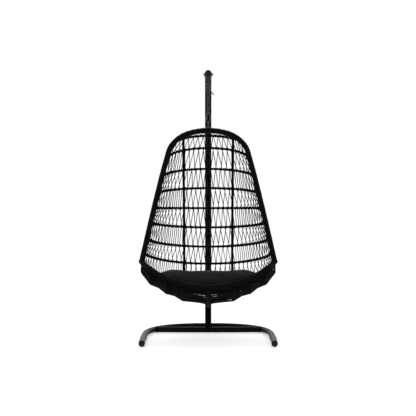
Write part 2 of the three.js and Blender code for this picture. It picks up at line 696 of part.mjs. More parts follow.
function buildHoops() {
  rows.forEach((row, i) => {
    const name = `hoop_${String(i + 1).padStart(2, '0')}`;
    addToBasket(name, cut(hoopTube(i), rimWeld, lipWeld), WICKER);
  });
}

// A rib crosses the outside of every hoop below `firstRow` at one distance from the middle.
// Its end on the lip, and at the top on the rim, is welded to the outer half of that tube.
function ribPoints(x, firstRow = 1) {
  const offset = HOOP_RADIUS + RIB_RADIUS - RIB_SEAT_DEPTH;
  const points = [];
  for (let index = firstRow; index + 1 < rowsToLip.length; index += 1) {
    const share = x / rowsToLip[index](1).x;
    points.push(rowsToLip[index](share).addScaledVector(outward(index, share), offset));
  }
  const share = x / LIP_HALF_WIDTH;
  const lipWall = outward(rowsToLip.length - 1, share).multiplyScalar(RIB_RADIUS + STRAND_DEPTH[2]);
  points.push(lipPoint(share).add(lipWall).add(vec(0, 0, -0.6 * LIP_RADIUS)));
  return points;
}

function fullRibPoints(x) {
  const start = rimPointWhere((p) => -p.x, -Math.abs(x)).multiply(vec(Math.sign(x) || 1, 1, 1));
  const points = ribPoints(x);
  const inward = points[0].clone().sub(start).setX(0).normalize();
  const wall = outward(1, x / rowsToLip[1](1).x).multiplyScalar(RIB_RADIUS + STRAND_DEPTH[2]);
  return [start.add(wall).addScaledVector(inward, 0.6 * RIM_RADIUS), ...points];
}

// Ribs are seated on the hoops and welded to rim and lip.
function buildRibs() {
  const welds = [rimWeld, lipWeld, ...rows.map((row, i) => hoopTube(i, SEAT_GAP))];
  const seated = (points, steps) => cut(tube(spline(points), RIB_RADIUS, 6, steps), ...welds);
  addToBasket('rib_centre', seated(fullRibPoints(0), 28), WICKER);
  addToBasket('rib_left', seated(fullRibPoints(-RIB_X), 24), WICKER);
  addToBasket('rib_right', seated(fullRibPoints(RIB_X), 24), WICKER);
  const sides = [...SIDE_RIB_X.map((x) => -x).reverse(), ...SIDE_RIB_X];
  sides.forEach((x, i) => {
    addToBasket(`rib_side_${i + 1}`, seated(ribPoints(x, backRows.length), 12), WICKER);
  });
}

// ---------- Weave ----------
// The tubes that the strands turn at: the rim at the top, the hoops, and the lip.
function wallRadius(index) {
  if (index === 0) return RIM_RADIUS;
  return index === rowsToLip.length - 1 ? LIP_RADIUS : HOOP_RADIUS * Math.cos(Math.PI / HOOP_SIDES);
}

// How far a tip's outermost edge stays from the middle of the tube it turns at, along `up`.
function tipInset(index, share, up) {
  const row = rowsToLip[index];
  const along = row(share + 0.01).sub(row(share - 0.01)).normalize();
  const slant = Math.sqrt(1 - up.dot(along) ** 2);
  return (wallRadius(index) + STRAND_GAP) / slant;
}

// One strand zigzags between two rows. Each tip is a mitre, which reaches past the strand's
// middle line by its half width over the sine of half the angle at the tip.
function weaveBand(index, reach) {
  const upper = rowsToLip[index];
  const lower = rowsToLip[index + 1];
  const halfWidth = (upper(1).x + lower(1).x) / 2;
  const depth = Math.abs(upper(0).y + lower(0).y - upper(1).y - lower(1).y) / 2;
  const tips = 4 * Math.round((reach * (halfWidth + depth)) / STRAND_PITCH / 2) + 1;
  const rings = [];
  for (let i = 0; i < tips; i += 1) {
    const share = Math.sin(lerp(-reach, reach, i / (tips - 1)));
    const top = upper(share);
    const bottom = lower(share);
    const up = top.clone().sub(bottom);
    const mitre = (STRAND_HALF_WIDTH * Math.hypot(up.length(), STRAND_PITCH / 2)) / (STRAND_PITCH / 2);
    up.normalize();
    const tip = i % 2 === 0
      ? bottom.addScaledVector(up, tipInset(index + 1, share, up) + mitre)
      : top.addScaledVector(up, -tipInset(index, share, up) - mitre);
    const out = outward(Math.max(index, 1), share);
    rings.push([mitre, -mitre, 0].map((rise, edge) =>
      tip.clone().addScaledVector(up, rise).addScaledVector(out, STRAND_DEPTH[edge])));
  }
  return loft(rings);
}

function buildWeave() {
  const margin = 1.4 * RIM_RADIUS + 3 * STRAND_HALF_WIDTH;
  for (let index = 0; index + 1 < rowsToLip.length; index += 1) {
    const bound = Math.min(rowReach[index - 1] ?? 60, rowReach[index] ?? 66);
    const width = rowsToLip[index + 1](1).x;
    const reach = radians(bound) - margin / width;
    addToBasket(`weave_${String(index + 1).padStart(2, '0')}`, weaveBand(index, reach), WICKER);
  }
}

// ---------- Cushion ----------
// Height of the bowl's wall, at hoop centres, over a place in the seat. Between two hoops
// the strands run straight.
function bowlHeight(x, y) {
  const points = rowsToLip.slice(backRows.length).map((row) => row(Math.min(0.99, Math.abs(x) / row(1).x)));
  const next = Math.max(1, points.findIndex((point) => point.y < y));
  const [behind, front] = [points[next - 1], points[next]];
  return lerp(behind.z, front.z, (y - behind.y) / (front.y - behind.y));
}

// A pad that fills the bowl at seat height: its rim stops where the wall leaves room for
// CUSHION_EDGE, and its underside is that wall or, over the middle of the bowl, its own curve.
function cushion() {
  const frontY = -LIP_REACH + LIP_RADIUS + CUSHION_FRONT_GAP;
  const middleY = frontY + CUSHION_LENGTH / 2;
  const sides = 36;
  const place = (angle, size) => {
    const spread = (value) => Math.sign(value) * Math.abs(value) ** (2 / CUSHION_SQUARENESS);
    const x = CUSHION_HALF_WIDTH * size * spread(Math.cos(angle));
    return { x, y: middleY + (CUSHION_LENGTH / 2) * size * spread(Math.sin(angle)), size };
  };
  const top = ({ y, size }) => lerp(-CUSHION_FRONT_DROP, -CUSHION_BACK_DROP, (y - frontY) / CUSHION_LENGTH)
    + CUSHION_CROWN * (1 - size ** 3);
  const wall = ({ x, y }) => {
    const step = 4;
    const slopeX = (bowlHeight(x + step, y) - bowlHeight(x - step, y)) / (2 * step);
    const slopeY = (bowlHeight(x, y + step) - bowlHeight(x, y - step)) / (2 * step);
    return bowlHeight(x, y) + HOOP_RADIUS * Math.hypot(1, slopeX, slopeY);
  };
  const bottom = (spot) => Math.max(
    wall(spot),
    top(spot) - lerp(CUSHION_EDGE, CUSHION_THICKNESS, Math.sqrt(1 - spot.size ** 2)),
  );
  const rim = Array.from({ length: sides }, (_, i) => {
    const angle = (2 * Math.PI * (i + 0.5)) / sides;
    let reach = 1;
    const room = () => top({ ...place(angle, reach), size: 1 }) - wall(place(angle, reach));
    while (reach > 0.5 && room() < CUSHION_EDGE) reach -= 0.005;
    return { angle, reach };
  });
  const ringAt = (size, height) => rim.map(({ angle, reach }) => {
    const spot = { ...place(angle, size * reach), size };
    return vec(spot.x, spot.y, height(spot));
  });
  const side = (up) => (spot) => lerp(bottom(spot), top(spot), up);
  const sizes = [0.02, 0.3, 0.55, 0.75, 0.9];
  return loft([
    ...sizes.map((size) => ringAt(size, bottom)),
    ringAt(0.97, side(0.2)),
    ringAt(1, side(0.55)),
    ringAt(0.97, side(0.88)),
    ...sizes.reverse().map((size) => ringAt(size, top)),
  ]);
}

// Lifts a piece from where it meets its supports to SEAT_GAP above them.
function settle(geometry, supports) {
  const piece = toSolid(geometry);
  const solids = supports.map((support) => toSolid(support.geometry));
  const clear = (lift) => {
    const moved = piece.translate([0, 0, lift]);
    return solids.every((solid) => moved.intersect(solid).volume() < 1e-3);
  };
  let low = -CUSHION_EDGE / 2;
  let high = CUSHION_EDGE / 2;
  for (let i = 0; i < 12; i += 1) {
    const middle = (low + high) / 2;
    if (clear(middle)) high = middle;
    else low = middle;
  }
  return geometry.translate(0, 0, high + SEAT_GAP);
}

buildBase();
buildPost();
buildBail();
const eyeFoot = buildHanger();

// The top rib rests on the foot of the eye, where it passes the hanging line.
const ribTop = spline(fullRibPoints(0));
const ribSeatZ = ribTop.getPoint(-BASKET_SET_BACK / (ribTop.points[1].y) / (ribTop.points.length - 1)).z;
const ribSeat = (EYE_WIRE_RADIUS + RIB_RADIUS) * Math.cos(Math.PI / 6); // both have six sides
basket.position.set(0, HANG_Y + BASKET_SET_BACK, eyeFoot.z + ribSeat - ribSeatZ);
buildHoops();
buildRibs();
buildWeave();
addToBasket('rim_arch', cut(rim, lipWeld), WICKER);
addToBasket('front_lip', lipRod, WICKER);
addToBasket('seat_cushion', settle(cushion(), basket.children), FABRIC);
chair.add(basket);

export default chair;
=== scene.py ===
"""Looks of the hanging egg chair: smooth tubes, wound wicker, strands and a stuffed cushion
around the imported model. Metres, +Z up, the open front faces -Y."""
from math import atan2, copysign, cos, pi, radians, sin, sqrt

import bpy
import numpy as np
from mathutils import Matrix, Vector
from mathutils.bvhtree import BVHTree


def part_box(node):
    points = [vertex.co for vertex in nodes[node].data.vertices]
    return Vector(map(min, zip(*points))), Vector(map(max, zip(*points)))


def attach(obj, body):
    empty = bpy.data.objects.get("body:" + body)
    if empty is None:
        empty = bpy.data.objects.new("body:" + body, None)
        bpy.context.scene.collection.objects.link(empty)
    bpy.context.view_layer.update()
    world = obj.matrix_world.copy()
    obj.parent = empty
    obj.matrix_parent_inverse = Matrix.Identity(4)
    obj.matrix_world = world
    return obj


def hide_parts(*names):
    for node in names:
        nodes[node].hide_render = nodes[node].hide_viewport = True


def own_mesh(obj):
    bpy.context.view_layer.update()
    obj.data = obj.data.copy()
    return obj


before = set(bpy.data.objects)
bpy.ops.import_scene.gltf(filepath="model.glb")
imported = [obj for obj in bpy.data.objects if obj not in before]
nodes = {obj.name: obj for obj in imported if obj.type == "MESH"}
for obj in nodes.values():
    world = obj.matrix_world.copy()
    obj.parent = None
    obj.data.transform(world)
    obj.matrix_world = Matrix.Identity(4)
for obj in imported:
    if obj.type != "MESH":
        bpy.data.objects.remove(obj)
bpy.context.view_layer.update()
rng = np.random.default_rng(7)

# ---- Camera ----
CAMERA_PLACE = (0.0, -6.995, 0.979)
LENS_MM = 80.0
SENSOR_MM = 36.0
IMAGE_WIDTH = 416
OFF_CENTRE_PX = (0.2, 0.3)  # the object stands this far right of and below the middle

# ---- Stand ----
SOLE = 0.006
BASE_RADIUS = 0.0225
BASE_DEPTH = 1.020
BASE_HALF_WIDTH = 0.4775
BASE_WIDEST_Y = -0.050
BASE_SQUARENESS = 2.4
BASE_TOE_IN = 0.011
CAP_THICKNESS = 0.004
CAP_FACE = [  # shares of the radius and the height, over the groove in the cap's face
    (0.86, 0.86), (0.8, 0.9), (0.78, 0.84), (0.75, 0.84), (0.73, 0.92), (0.45, 0.97), (0.1, 1),
]
CROSSBAR_Y = 0.262
CROSSBAR_BOW = 0.018
POST_RADIUS = 0.025
POST_JOINT_Z = 0.820
POST_BULGE_Y = 0.345
POST_CURVE = [(0.984, 0.329), (0.856, 0.623), (0.576, 0.879), (0.3, 0.979)]
ARM_Z = 1.975
ARM_END_Y = -0.172
ARM_STRAIGHT = 0.045
POST_EDGE = 0.0006  # the broken edge at a tube's end
POST_JOINT_GAP = 0.0004
BEAD_STEPS = 72
BEAD_RADIUS = 0.0024

# ---- Hanger ----
HANG_Y = -0.130
BAIL_RADIUS = 0.003
BAIL_EYE_X = 0.0281
BAIL_BEND = 0.0055
BAIL_EYE_RADIUS = 0.009
BAIL_RING_WIRE = 0.0023
BAIL_DROP = 0.045
SPRING_BAR_RADIUS = 0.0025
SPRING_BAR_HALF_GAP = 0.007
SPRING_HOOK_REACH = 0.017
SPRING_HOOK_BEND = 0.004
SPRING_TAIL = (0.041, -0.026)  # reach, and rise from the lower hooks
SPRING_TAIL_DROP = 0.038  # of the solid's tail, under the hooks
SPRING_TAIL_SWELL = 0.6  # how much thicker its wire gets
SPRING_FOOT_TURN = -30
SPRING_RADIUS = 0.0134
SPRING_WIRE_RADIUS = 0.0022
SPRING_TURNS = 8.5
LINK_RADIUS = 0.003
LINK_WIDTH = 0.024
LINK_TURNS = [46, -46, 42, -54, -80]
QUICK_RADIUS = 0.0035
QUICK_WIDTH = 0.034
QUICK_TURN = 22
QUICK_OPENING = 0.016
THREAD_TURNS = 5
THREAD_START = 0.0052  # from the end of the opening
THREAD_PITCH = 0.001
THREAD_RADIUS = 0.0004
EYE_RADIUS = 0.004
EYE_WIDTH = 0.038

# ---- Basket ----
SET_BACK = -0.030
RIM_RADIUS = 0.018
LIP_RADIUS = 0.018
HOOP_RADIUS = 0.008
RIB_RADIUS = 0.009
RIB_SEAT_DEPTH = 0.0015
RIB_END_LIFT = 0.0018  # of a rib's end off the rim or lip, beyond its own radius
RIM_FOOT_SHARE = 0.97
LIP_HALF_WIDTH = 0.497
LIP_REACH = 0.268
LIP_DROP = 1.137
LIP_RISE = 0.188
LIP_SWEEP = 0.130
LIP_CURL = 0.26
BACK_DEPTH = 0.382
KEEL_HALF_WIDTH = 0.490
KEEL_DEPTH = 0.062
KEEL_SWEEP = 0.200
KEEL_DROP = 1.281
KEEL_SLOPE_RISE = 0.195
KEEL_SIDE_RISE = 0.076
RIB_X = 0.180
SIDE_RIB_X = [0.300, 0.412]
RIM_OUTLINE = [(1, 0), (0.796, 0.455), (0.644, 0.762), (0.564, 0.88), (0.367, 0.964), (0, 1)]
BACK_HOOPS = [  # share of the rim's height at its ends, share at its middle, share of depth
    (0.882, 0.970, 0.351), (0.777, 0.881, 0.622), (0.638, 0.718, 0.770), (0.514, 0.565, 0.878),
    (0.405, 0.404, 0.959), (0.298, 0.248, 1.0), (0.177, 0.092, 1.0), (0.074, -0.045, 0.959),
]
BOWL_TURNS = [45, 90, 130]
BOWL_REACH = [90, 78, 62]

# ---- Wicker ----
RIM_PITCH = 0.0066  # width of one turn of the winding
ROD_PITCH = 0.0052
WIND_DEPTH = 0.0009
RIDGE = [-1.0, -0.12, 0.0, -0.12]  # section of one turn, in shares of that depth
ROD_WRAP = 0.0011  # how far the winding stands proud of the solid rod
RIM_WRAP = 0.0018
LIP_TAPER = 0.014  # where the lip's ends are rounded off
STRAND_RADIUS = 0.0029
TIP_SPACING = 0.0198  # along a hoop, between one turn of a strand and the next
BOWL_TIP_SPACING = 0.0135  # the same under the seat
KNOT_LENGTH = 0.010  # how far the two legs of a sharp tip run together
SOFT_LENGTH = 0.002
KNOT_OPENING = 0.0008  # half the width of a tip: knotted, soft, and outside the ribs
TIP_OPENING = 0.0028
SIDE_OPENING = 0.0012
STRAND_END_GAP = 0.030  # from a band's end to its last tip
RIM_STRAND_REACH = 60  # degrees along the rim and the lip that the bands cover
LIP_STRAND_REACH = 66
TIP_WANDER = 0.0011
WRAP_TURNS = (20, -20, -55, -90, -125, -160, -200)  # degrees from the face that a strand comes to
NET_SPACING = 0.0078
NET_WIDTH = 0.0031  # half of a flat strand's width
NET_FLATNESS = 0.5
NET_CLEARANCE = 0.0016  # of a flat strand's middle from the rib that it passes
NET_WANDER = 0.0006
NET_REACH = ([0, 45, 90, 130, 180], [86, 84, 80, 72, 68])  # how far out a row goes, by its turn
NET_SIDES_FROM = 40  # degrees round the bowl, where the net starts outside the middle ribs
NET_MIDDLE_FROM = 66  # and where it goes right across
NET_TO = 172
NET_SLIT = 138  # where a row of the net is left open
NET_SLIT_WIDTH = 4.6
LASH_TURNS = 3
LASH_PITCH = 0.0031
LASH_RADIUS = 0.0015
LASH_REACH = 0.0135
LASH_DEPTH = HOOP_RADIUS + RIB_RADIUS + 0.0008
BAND_RADIUS = 0.0019  # the bindings of the hoops' ends on the rim
BAND_TURNS = 8
BAND_HALF_LENGTH = 0.014


# ---- Vectors, curves and meshes ----
def unit(vectors):
    vectors = np.asarray(vectors, float)
    return vectors / np.maximum(np.linalg.norm(vectors, axis=-1, keepdims=True), 1e-12)


def xyz(x, y, z):
    return np.stack(np.broadcast_arrays(x, y, z), -1)


def lerp(a, b, share):
    return a + (b - a) * share


def spline(points, count):
    """A centripetal Catmull-Rom curve through the points, in `count` even steps of its length."""
    p = np.asarray(points, float)
    p = np.vstack([2 * p[0] - p[1], p, 2 * p[-1] - p[-2]])
    out = []
    t = np.linspace(0, 1, 48, endpoint=False)[:, None]
    for i in range(1, len(p) - 2):
        d0, d1, d2 = (np.linalg.norm(p[i + k] - p[i + k - 1]) ** 0.5 for k in range(3))
        before, here, after = p[i] - p[i - 1], p[i + 1] - p[i], p[i + 2] - p[i + 1]
        m1 = (before / d0 - (p[i + 1] - p[i - 1]) / (d0 + d1) + here / d1) * d1
        m2 = (here / d1 - (p[i + 2] - p[i]) / (d1 + d2) + after / d2) * d1
        c2 = 3 * here - 2 * m1 - m2
        c3 = 2 * (p[i] - p[i + 1]) + m1 + m2
        out.append(p[i] + m1 * t + c2 * t**2 + c3 * t**3)
    out.append(p[-2][None])
    return even(np.vstack(out), count)


def lengths(points):
    return np.concatenate([[0], np.cumsum(np.linalg.norm(np.diff(points, axis=0), axis=1))])


def between(where, known, points):
    """Points between the ones at `known`."""
    return np.stack([np.interp(where, known, points[:, k]) for k in range(3)], -1)


def at_length(points, along):
    return between(along, lengths(points), points)


def even(points, count):
    return at_length(points, np.linspace(0, lengths(points)[-1], count + 1))


def frames(points, first=(0, 0, 1), closed=False):
    """Tangent, normal and side of a path, turning as little as they can."""
    if closed:
        tangent = unit(np.roll(points, -1, 0) - np.roll(points, 1, 0))
    else:
        tangent = unit(np.gradient(points, axis=0))
    normal = np.zeros_like(tangent)
    last = np.array(first, float)
    if abs(unit(last) @ tangent[0]) > 0.95:
        last = np.array((1.0, 0, 0))
    for i, t in enumerate(tangent):
        last = last - t * (last @ t)
        last = last / sqrt(last @ last)
        normal[i] = last
    return tangent, normal, np.cross(tangent, normal)


def around(angle, a, b):
    """Directions on the circle that runs from a to b."""
    return np.cos(angle)[..., None] * a + np.sin(angle)[..., None] * b


def new_object(name, data):
    made = bpy.data.objects.new(name, data)
    bpy.context.scene.collection.objects.link(made)
    return made


def shade_smooth(mesh):
    mesh.polygons.foreach_set("use_smooth", [True] * len(mesh.polygons))


def mesh_object(name, verts, faces, material, wind=None):
    mesh = bpy.data.meshes.new(name)
    mesh.from_pydata(np.asarray(verts).tolist(), [], faces)
    if wind is not None:
        data = mesh.attributes.new("wind", "FLOAT_VECTOR", "POINT").data
        data.foreach_set("vector", np.asarray(wind, np.float32).ravel())
    shade_smooth(mesh)
    mesh.materials.append(material)
    mesh.update()
    return new_object(name, mesh)


def skin(rows, sides, closed=False):
    """Faces over rings of points, with a flat one at both ends of an open row."""
    faces = []
    for r in range(rows if closed else rows - 1):
        a, b = r * sides, (r + 1) % rows * sides
        for s in range(sides):
            n = (s + 1) % sides
            faces.append((a + s, a + n, b + n, b + s))
    if not closed:
        faces.append(tuple(range(sides))[::-1])
        faces.append(tuple((rows - 1) * sides + s for s in range(sides)))
    return faces


class Build:
    """Collects tubes for one mesh."""

    def __init__(self):
        self.verts, self.faces, self.wind, self.count = [], [], [], 0

    def add(self, verts, faces, wind):
        self.verts.append(verts)
        self.wind.append(wind)
        self.faces.extend([tuple(v + self.count for v in face) for face in faces])
        self.count += len(verts)

    def tube(self, points, radius, sides, closed=False, first=(0, 0, 1), flat=1.0):
        """A tube with flat ends. `radius` may differ from point to point, and `flat` is the
        share of it that stays along the normal."""
        rows = len(points)
        _, normal, side = frames(points, first, closed)
        angle = np.linspace(0, 2 * pi, sides, endpoint=False)
        radius = np.broadcast_to(radius, rows)[:, None, None]
        rim = around(angle[None], normal[:, None] * flat, side[:, None])
        verts = (points[:, None] + radius * rim).reshape(-1, 3)
        along = np.repeat(lengths(points), sides)
        across = np.tile(angle, rows) * np.repeat(radius.ravel(), sides)
        self.add(verts, skin(rows, sides, closed), xyz(across, along, 0))

    def wound(self, points, radius, pitch, sides, taper=0.0):
        """A rod wound with flat wicker: a helical row of ridges round the path."""
        per = len(RIDGE)
        step = pitch / per
        total = lengths(points)[-1]
        rows = max(per, int(total / step))
        grid = np.linspace(0, total, rows + per + 1)
        centre = at_length(points, grid)
        _, normal, side = frames(centre)
        i = np.arange(rows + 1)[:, None]
        j = np.arange(sides)[None, :]
        row = np.clip(i + per * j / sides - per / 2, 0, rows) / rows * (len(grid) - 1)
        c, n, b = (between(row, np.arange(len(grid)), field) for field in (centre, normal, side))
        ridge = np.array(RIDGE)[i % per] * WIND_DEPTH
        size = radius + ridge
        if taper:
            along = row / (len(grid) - 1) * total
            end = np.clip(np.minimum(along, total - along) / taper, 0, 1)
            size = size * np.sqrt(np.maximum(1 - (1 - end) ** 2, 0.0))
        angle = 2 * pi * j / sides
        verts = c + size[..., None] * around(angle, unit(n), unit(b))
        # each turn of the winding gets a place of its own in the grain
        across = (i % per) * step + (i // per) * 0.37
        wind = xyz(across, (i // per + j / sides) * 2 * pi * radius, 0)
        faces = []
        for r in range(rows):
            for s in range(sides):
                a, b = r * sides + s, (r + 1) * sides + s
                if s + 1 < sides:
                    faces.append((a, a + 1, b + 1, b))
                elif r + per + 1 <= rows:
                    faces.append((a, (r + per) * sides, (r + per + 1) * sides, b))
        self.add(verts.reshape(-1, 3), faces, wind.reshape(-1, 3))

    def object(self, name, material):
        return mesh_object(name, np.vstack(self.verts), self.faces, material, np.vstack(self.wind))


def place(obj, body, slot, *replaced):
    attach(obj, body)
    if replaced:
        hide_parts(*replaced)
    return obj


# ---- Materials ----
def new_material(name, color, roughness, metallic=0.0, **sockets):
    material = bpy.data.materials.new(name)
    material.use_nodes = True
    shader = material.node_tree.nodes["Principled BSDF"]
    shader.inputs["Base Color"].default_value = (*color, 1)
    shader.inputs["Roughness"].default_value = roughness
    shader.inputs["Metallic"].default_value = metallic
    for key, value in sockets.items():
        shader.inputs[key.replace("_", " ")].default_value = value
    return material, material.node_tree, shader


def node(tree, kind, inputs=(), **settings):
    made = tree.nodes.new(kind)
    for key, value in settings.items():
        setattr(made, key, value)
    for key, value in dict(inputs).items():
        if isinstance(value, bpy.types.NodeSocket):
            tree.links.new(value, made.inputs[key])
        else:
            made.inputs[key].default_value = value
    return made


def noise(tree, vector, scale, detail=3.0, roughness=0.55):
    values = {"Vector": vector, "Scale": scale, "Detail": detail, "Roughness": roughness}
    return node(tree, "ShaderNodeTexNoise", values).outputs["Fac"]


def ramp(tree, value, *stops):
    made = node(tree, "ShaderNodeValToRGB", {"Fac": value})
    elements = made.color_ramp.elements
    while len(elements) < len(stops):
        elements.new(0.5)
    for element, (position, color) in zip(elements, stops):
        element.position = position
        element.color = (*color, 1)
    return made.outputs["Color"]


def grey(value):
    return (value,) * 3


def feed(tree, shader, socket, value, *stops):
    """Links a value to a socket, through a ramp where there are stops."""
    tree.links.new(ramp(tree, value, *stops) if stops else value, shader.inputs[socket])


def stretched(tree, vector, scale):
    made = node(tree, "ShaderNodeVectorMath", {0: vector, 1: scale}, operation="MULTIPLY")
    return made.outputs["Vector"]


def bump(tree, height, strength, distance, normal=None):
    values = {"Height": height, "Strength": strength, "Distance": distance}
    if normal is not None:
        values["Normal"] = normal
    return node(tree, "ShaderNodeBump", values).outputs["Normal"]


def object_space(tree):
    return node(tree, "ShaderNodeTexCoord").outputs["Object"]


def powder_coat(name, ior, dark, light):
    material, tree, shader = new_material(name, grey(light), 0.3, IOR=ior)
    spot = object_space(tree)
    cloud = noise(tree, spot, 14.0)
    feed(tree, shader, "Base Color", cloud, (0.3, grey(dark)), (0.75, grey(light)))
    feed(tree, shader, "Roughness", cloud, (0.25, grey(0.27)), (0.8, grey(0.4)))
    feed(tree, shader, "Normal", bump(tree, noise(tree, spot, 900.0, 2.0), 0.35, 0.0004))
    return material


def plastic():
    material, tree, shader = new_material("moulded_plastic", (0.013, 0.013, 0.0135), 0.5, IOR=1.2)
    spot = object_space(tree)
    feed(tree, shader, "Roughness", noise(tree, spot, 40.0), (0.3, grey(0.42)), (0.8, grey(0.6)))
    feed(tree, shader, "Normal", bump(tree, noise(tree, spot, 1500.0, 2.0), 0.4, 0.0003))
    return material


def zinc():
    material, tree, shader = new_material("zinc_plate", (0.08, 0.08, 0.085), 0.35, 0.9)
    spot = object_space(tree)
    mottle = noise(tree, spot, 160.0, 4.0, 0.65)
    scratch = noise(tree, stretched(tree, spot, (1, 1, 0.12)), 1400.0, 2.0)
    feed(tree, shader, "Base Color", mottle, (0.3, (0.03, 0.03, 0.031)), (0.72, (0.1, 0.1, 0.104)))
    feed(tree, shader, "Roughness", mottle, (0.25, grey(0.24)), (0.8, grey(0.5)))
    feed(tree, shader, "Normal", bump(tree, scratch, 0.25, 0.0002))
    return material


def wicker(name, light, dark):
    """Extruded plastic cane: fine grooves along it and a satin, slightly uneven surface."""
    material, tree, shader = new_material(name, light, 0.55, IOR=1.1)
    wind = node(tree, "ShaderNodeAttribute", attribute_name="wind").outputs["Vector"]
    fibre = noise(tree, stretched(tree, wind, (2600.0, 60.0, 1.0)), 1.0, 2.0)
    patch = noise(tree, stretched(tree, wind, (90.0, 9.0, 1.0)), 1.0, 2.0)
    feed(tree, shader, "Base Color", patch, (0.3, dark), (0.72, light))
    feed(tree, shader, "Roughness", fibre, (0.3, grey(0.34)), (0.75, grey(0.56)))
    feed(tree, shader, "Normal", bump(tree, fibre, 0.5, 0.0004))
    return material


def cushion_fabric():
    """Charcoal outdoor cloth: a fine plain weave of two close greys with a soft nap."""
    dark, light = (0.003, 0.0031, 0.0034), (0.009, 0.0092, 0.01)
    material, tree, shader = new_material("cushion_cloth", light, 0.92, IOR=1.05,
                                          Sheen_Weight=0.22, Sheen_Roughness=0.3)
    spot = object_space(tree)
    wave = {"Vector": spot, "Scale": 260.0, "Distortion": 0.6}
    warp, weft = (node(tree, "ShaderNodeTexWave", wave, wave_type="BANDS", bands_direction=way)
                  .outputs["Fac"] for way in "XY")
    weave = node(tree, "ShaderNodeMath", {0: warp, 1: weft}, operation="MULTIPLY").outputs["Value"]
    slub = noise(tree, stretched(tree, spot, (60.0, 900.0, 300.0)), 1.0, 2.0)
    cloud = noise(tree, spot, 7.0)
    tone = node(tree, "ShaderNodeMath", {0: slub, 1: cloud}, operation="ADD").outputs["Value"]
    feed(tree, shader, "Base Color", tone, (0.35, dark), (1.0, light))
    nap = bump(tree, noise(tree, spot, 1200.0, 2.0), 0.3, 0.0005)
    feed(tree, shader, "Normal", bump(tree, weave, 0.5, 0.0006, nap))
    return material


STEEL = powder_coat("powder_coat", 1.13, 0.003, 0.006)
# A darker copy of the same powder coat for the post, painted shade: darker colours than the base
# tube's coat.
PAINTED_SHADE_POST_STEEL = powder_coat("post_coat_painted_shade", 1.07, 0.0012, 0.003)
PLASTIC = plastic()
ZINC = zinc()
WRAP = wicker("wicker_winding", (0.0055, 0.0052, 0.005), (0.0025, 0.0024, 0.0023))
# A lighter copy of the same winding, painted light: used on the lip and the front lengths of the
# ribs, where more light falls.
PAINTED_LIGHT_WRAP = wicker("lip_winding", (0.012, 0.0113, 0.011), (0.005, 0.0048, 0.0047))
STRAND = wicker("wicker_strand", (0.004, 0.0038, 0.0036), (0.002, 0.0019, 0.0018))
CLOTH = cushion_fabric()


# ---- Stand ----
BASE_Z = SOLE + BASE_RADIUS
BASE_TIP_Y = -BASE_DEPTH / 2 + CAP_THICKNESS
BASE_REAR_Y = BASE_DEPTH / 2 - BASE_RADIUS


def base_path():
    share = np.linspace(0, 1, 40)
    arm = xyz(BASE_HALF_WIDTH - BASE_TOE_IN * (1 - share) ** 2,
              lerp(BASE_TIP_Y, BASE_WIDEST_Y, share), BASE_Z)
    angle = np.linspace(0, pi, 200)[1:-1]
    power = 2 / BASE_SQUARENESS
    across = np.sign(np.cos(angle)) * np.abs(np.cos(angle)) ** power
    back = np.abs(np.sin(angle)) ** power
    sweep = xyz(BASE_HALF_WIDTH * across, lerp(BASE_WIDEST_Y, BASE_REAR_Y, back), BASE_Z)
    return np.vstack([arm, sweep, arm[::-1] * (-1, 1, 1)])


def crossbar_path():
    reach = (CROSSBAR_Y - BASE_WIDEST_Y) / (BASE_REAR_Y - BASE_WIDEST_Y)
    half = BASE_HALF_WIDTH * (1 - reach**BASE_SQUARENESS) ** (1 / BASE_SQUARENESS) - BASE_RADIUS / 2
    across = np.linspace(-1, 1, 41)
    return xyz(half * across, CROSSBAR_Y - CROSSBAR_BOW * (1 - across**2), BASE_Z)


def post_path():
    foot = np.array([0, CROSSBAR_Y - CROSSBAR_BOW, BASE_Z])
    points = [foot, (0, lerp(foot[1], POST_BULGE_Y, 0.65), lerp(foot[2], POST_JOINT_Z, 0.47)),
              (0, POST_BULGE_Y, POST_JOINT_Z)]
    points += [(0, lerp(ARM_END_Y, POST_BULGE_Y, back), lerp(POST_JOINT_Z, ARM_Z, up))
               for back, up in POST_CURVE]
    points += [(0, ARM_END_Y + ARM_STRAIGHT, ARM_Z), (0, ARM_END_Y, ARM_Z)]
    path = spline(points, 400)
    path[:, 2] = np.minimum(path[:, 2], ARM_Z)
    return path


def weld_bead(path, radius, target):
    """A rippled bead where a tube meets the wall of a base tube that runs along `target`."""
    _, normal, side = frames(path)
    bead = []
    for angle in np.linspace(0, 2 * pi, BEAD_STEPS, endpoint=False):
        ray = normal * cos(angle) * radius + side * sin(angle) * radius + path
        apart = np.min(np.linalg.norm(ray[:, None] - target[None], axis=2), axis=1)
        outside = int(np.argmax(apart > BASE_RADIUS))
        bead.append(at_length(ray, max(0.0, lengths(ray)[outside])))
    ripple = np.sin(np.arange(BEAD_STEPS) * 2.1)
    size = BEAD_RADIUS + 0.0005 * ripple + 0.0002 * rng.standard_normal(BEAD_STEPS)
    return np.array(bead), size


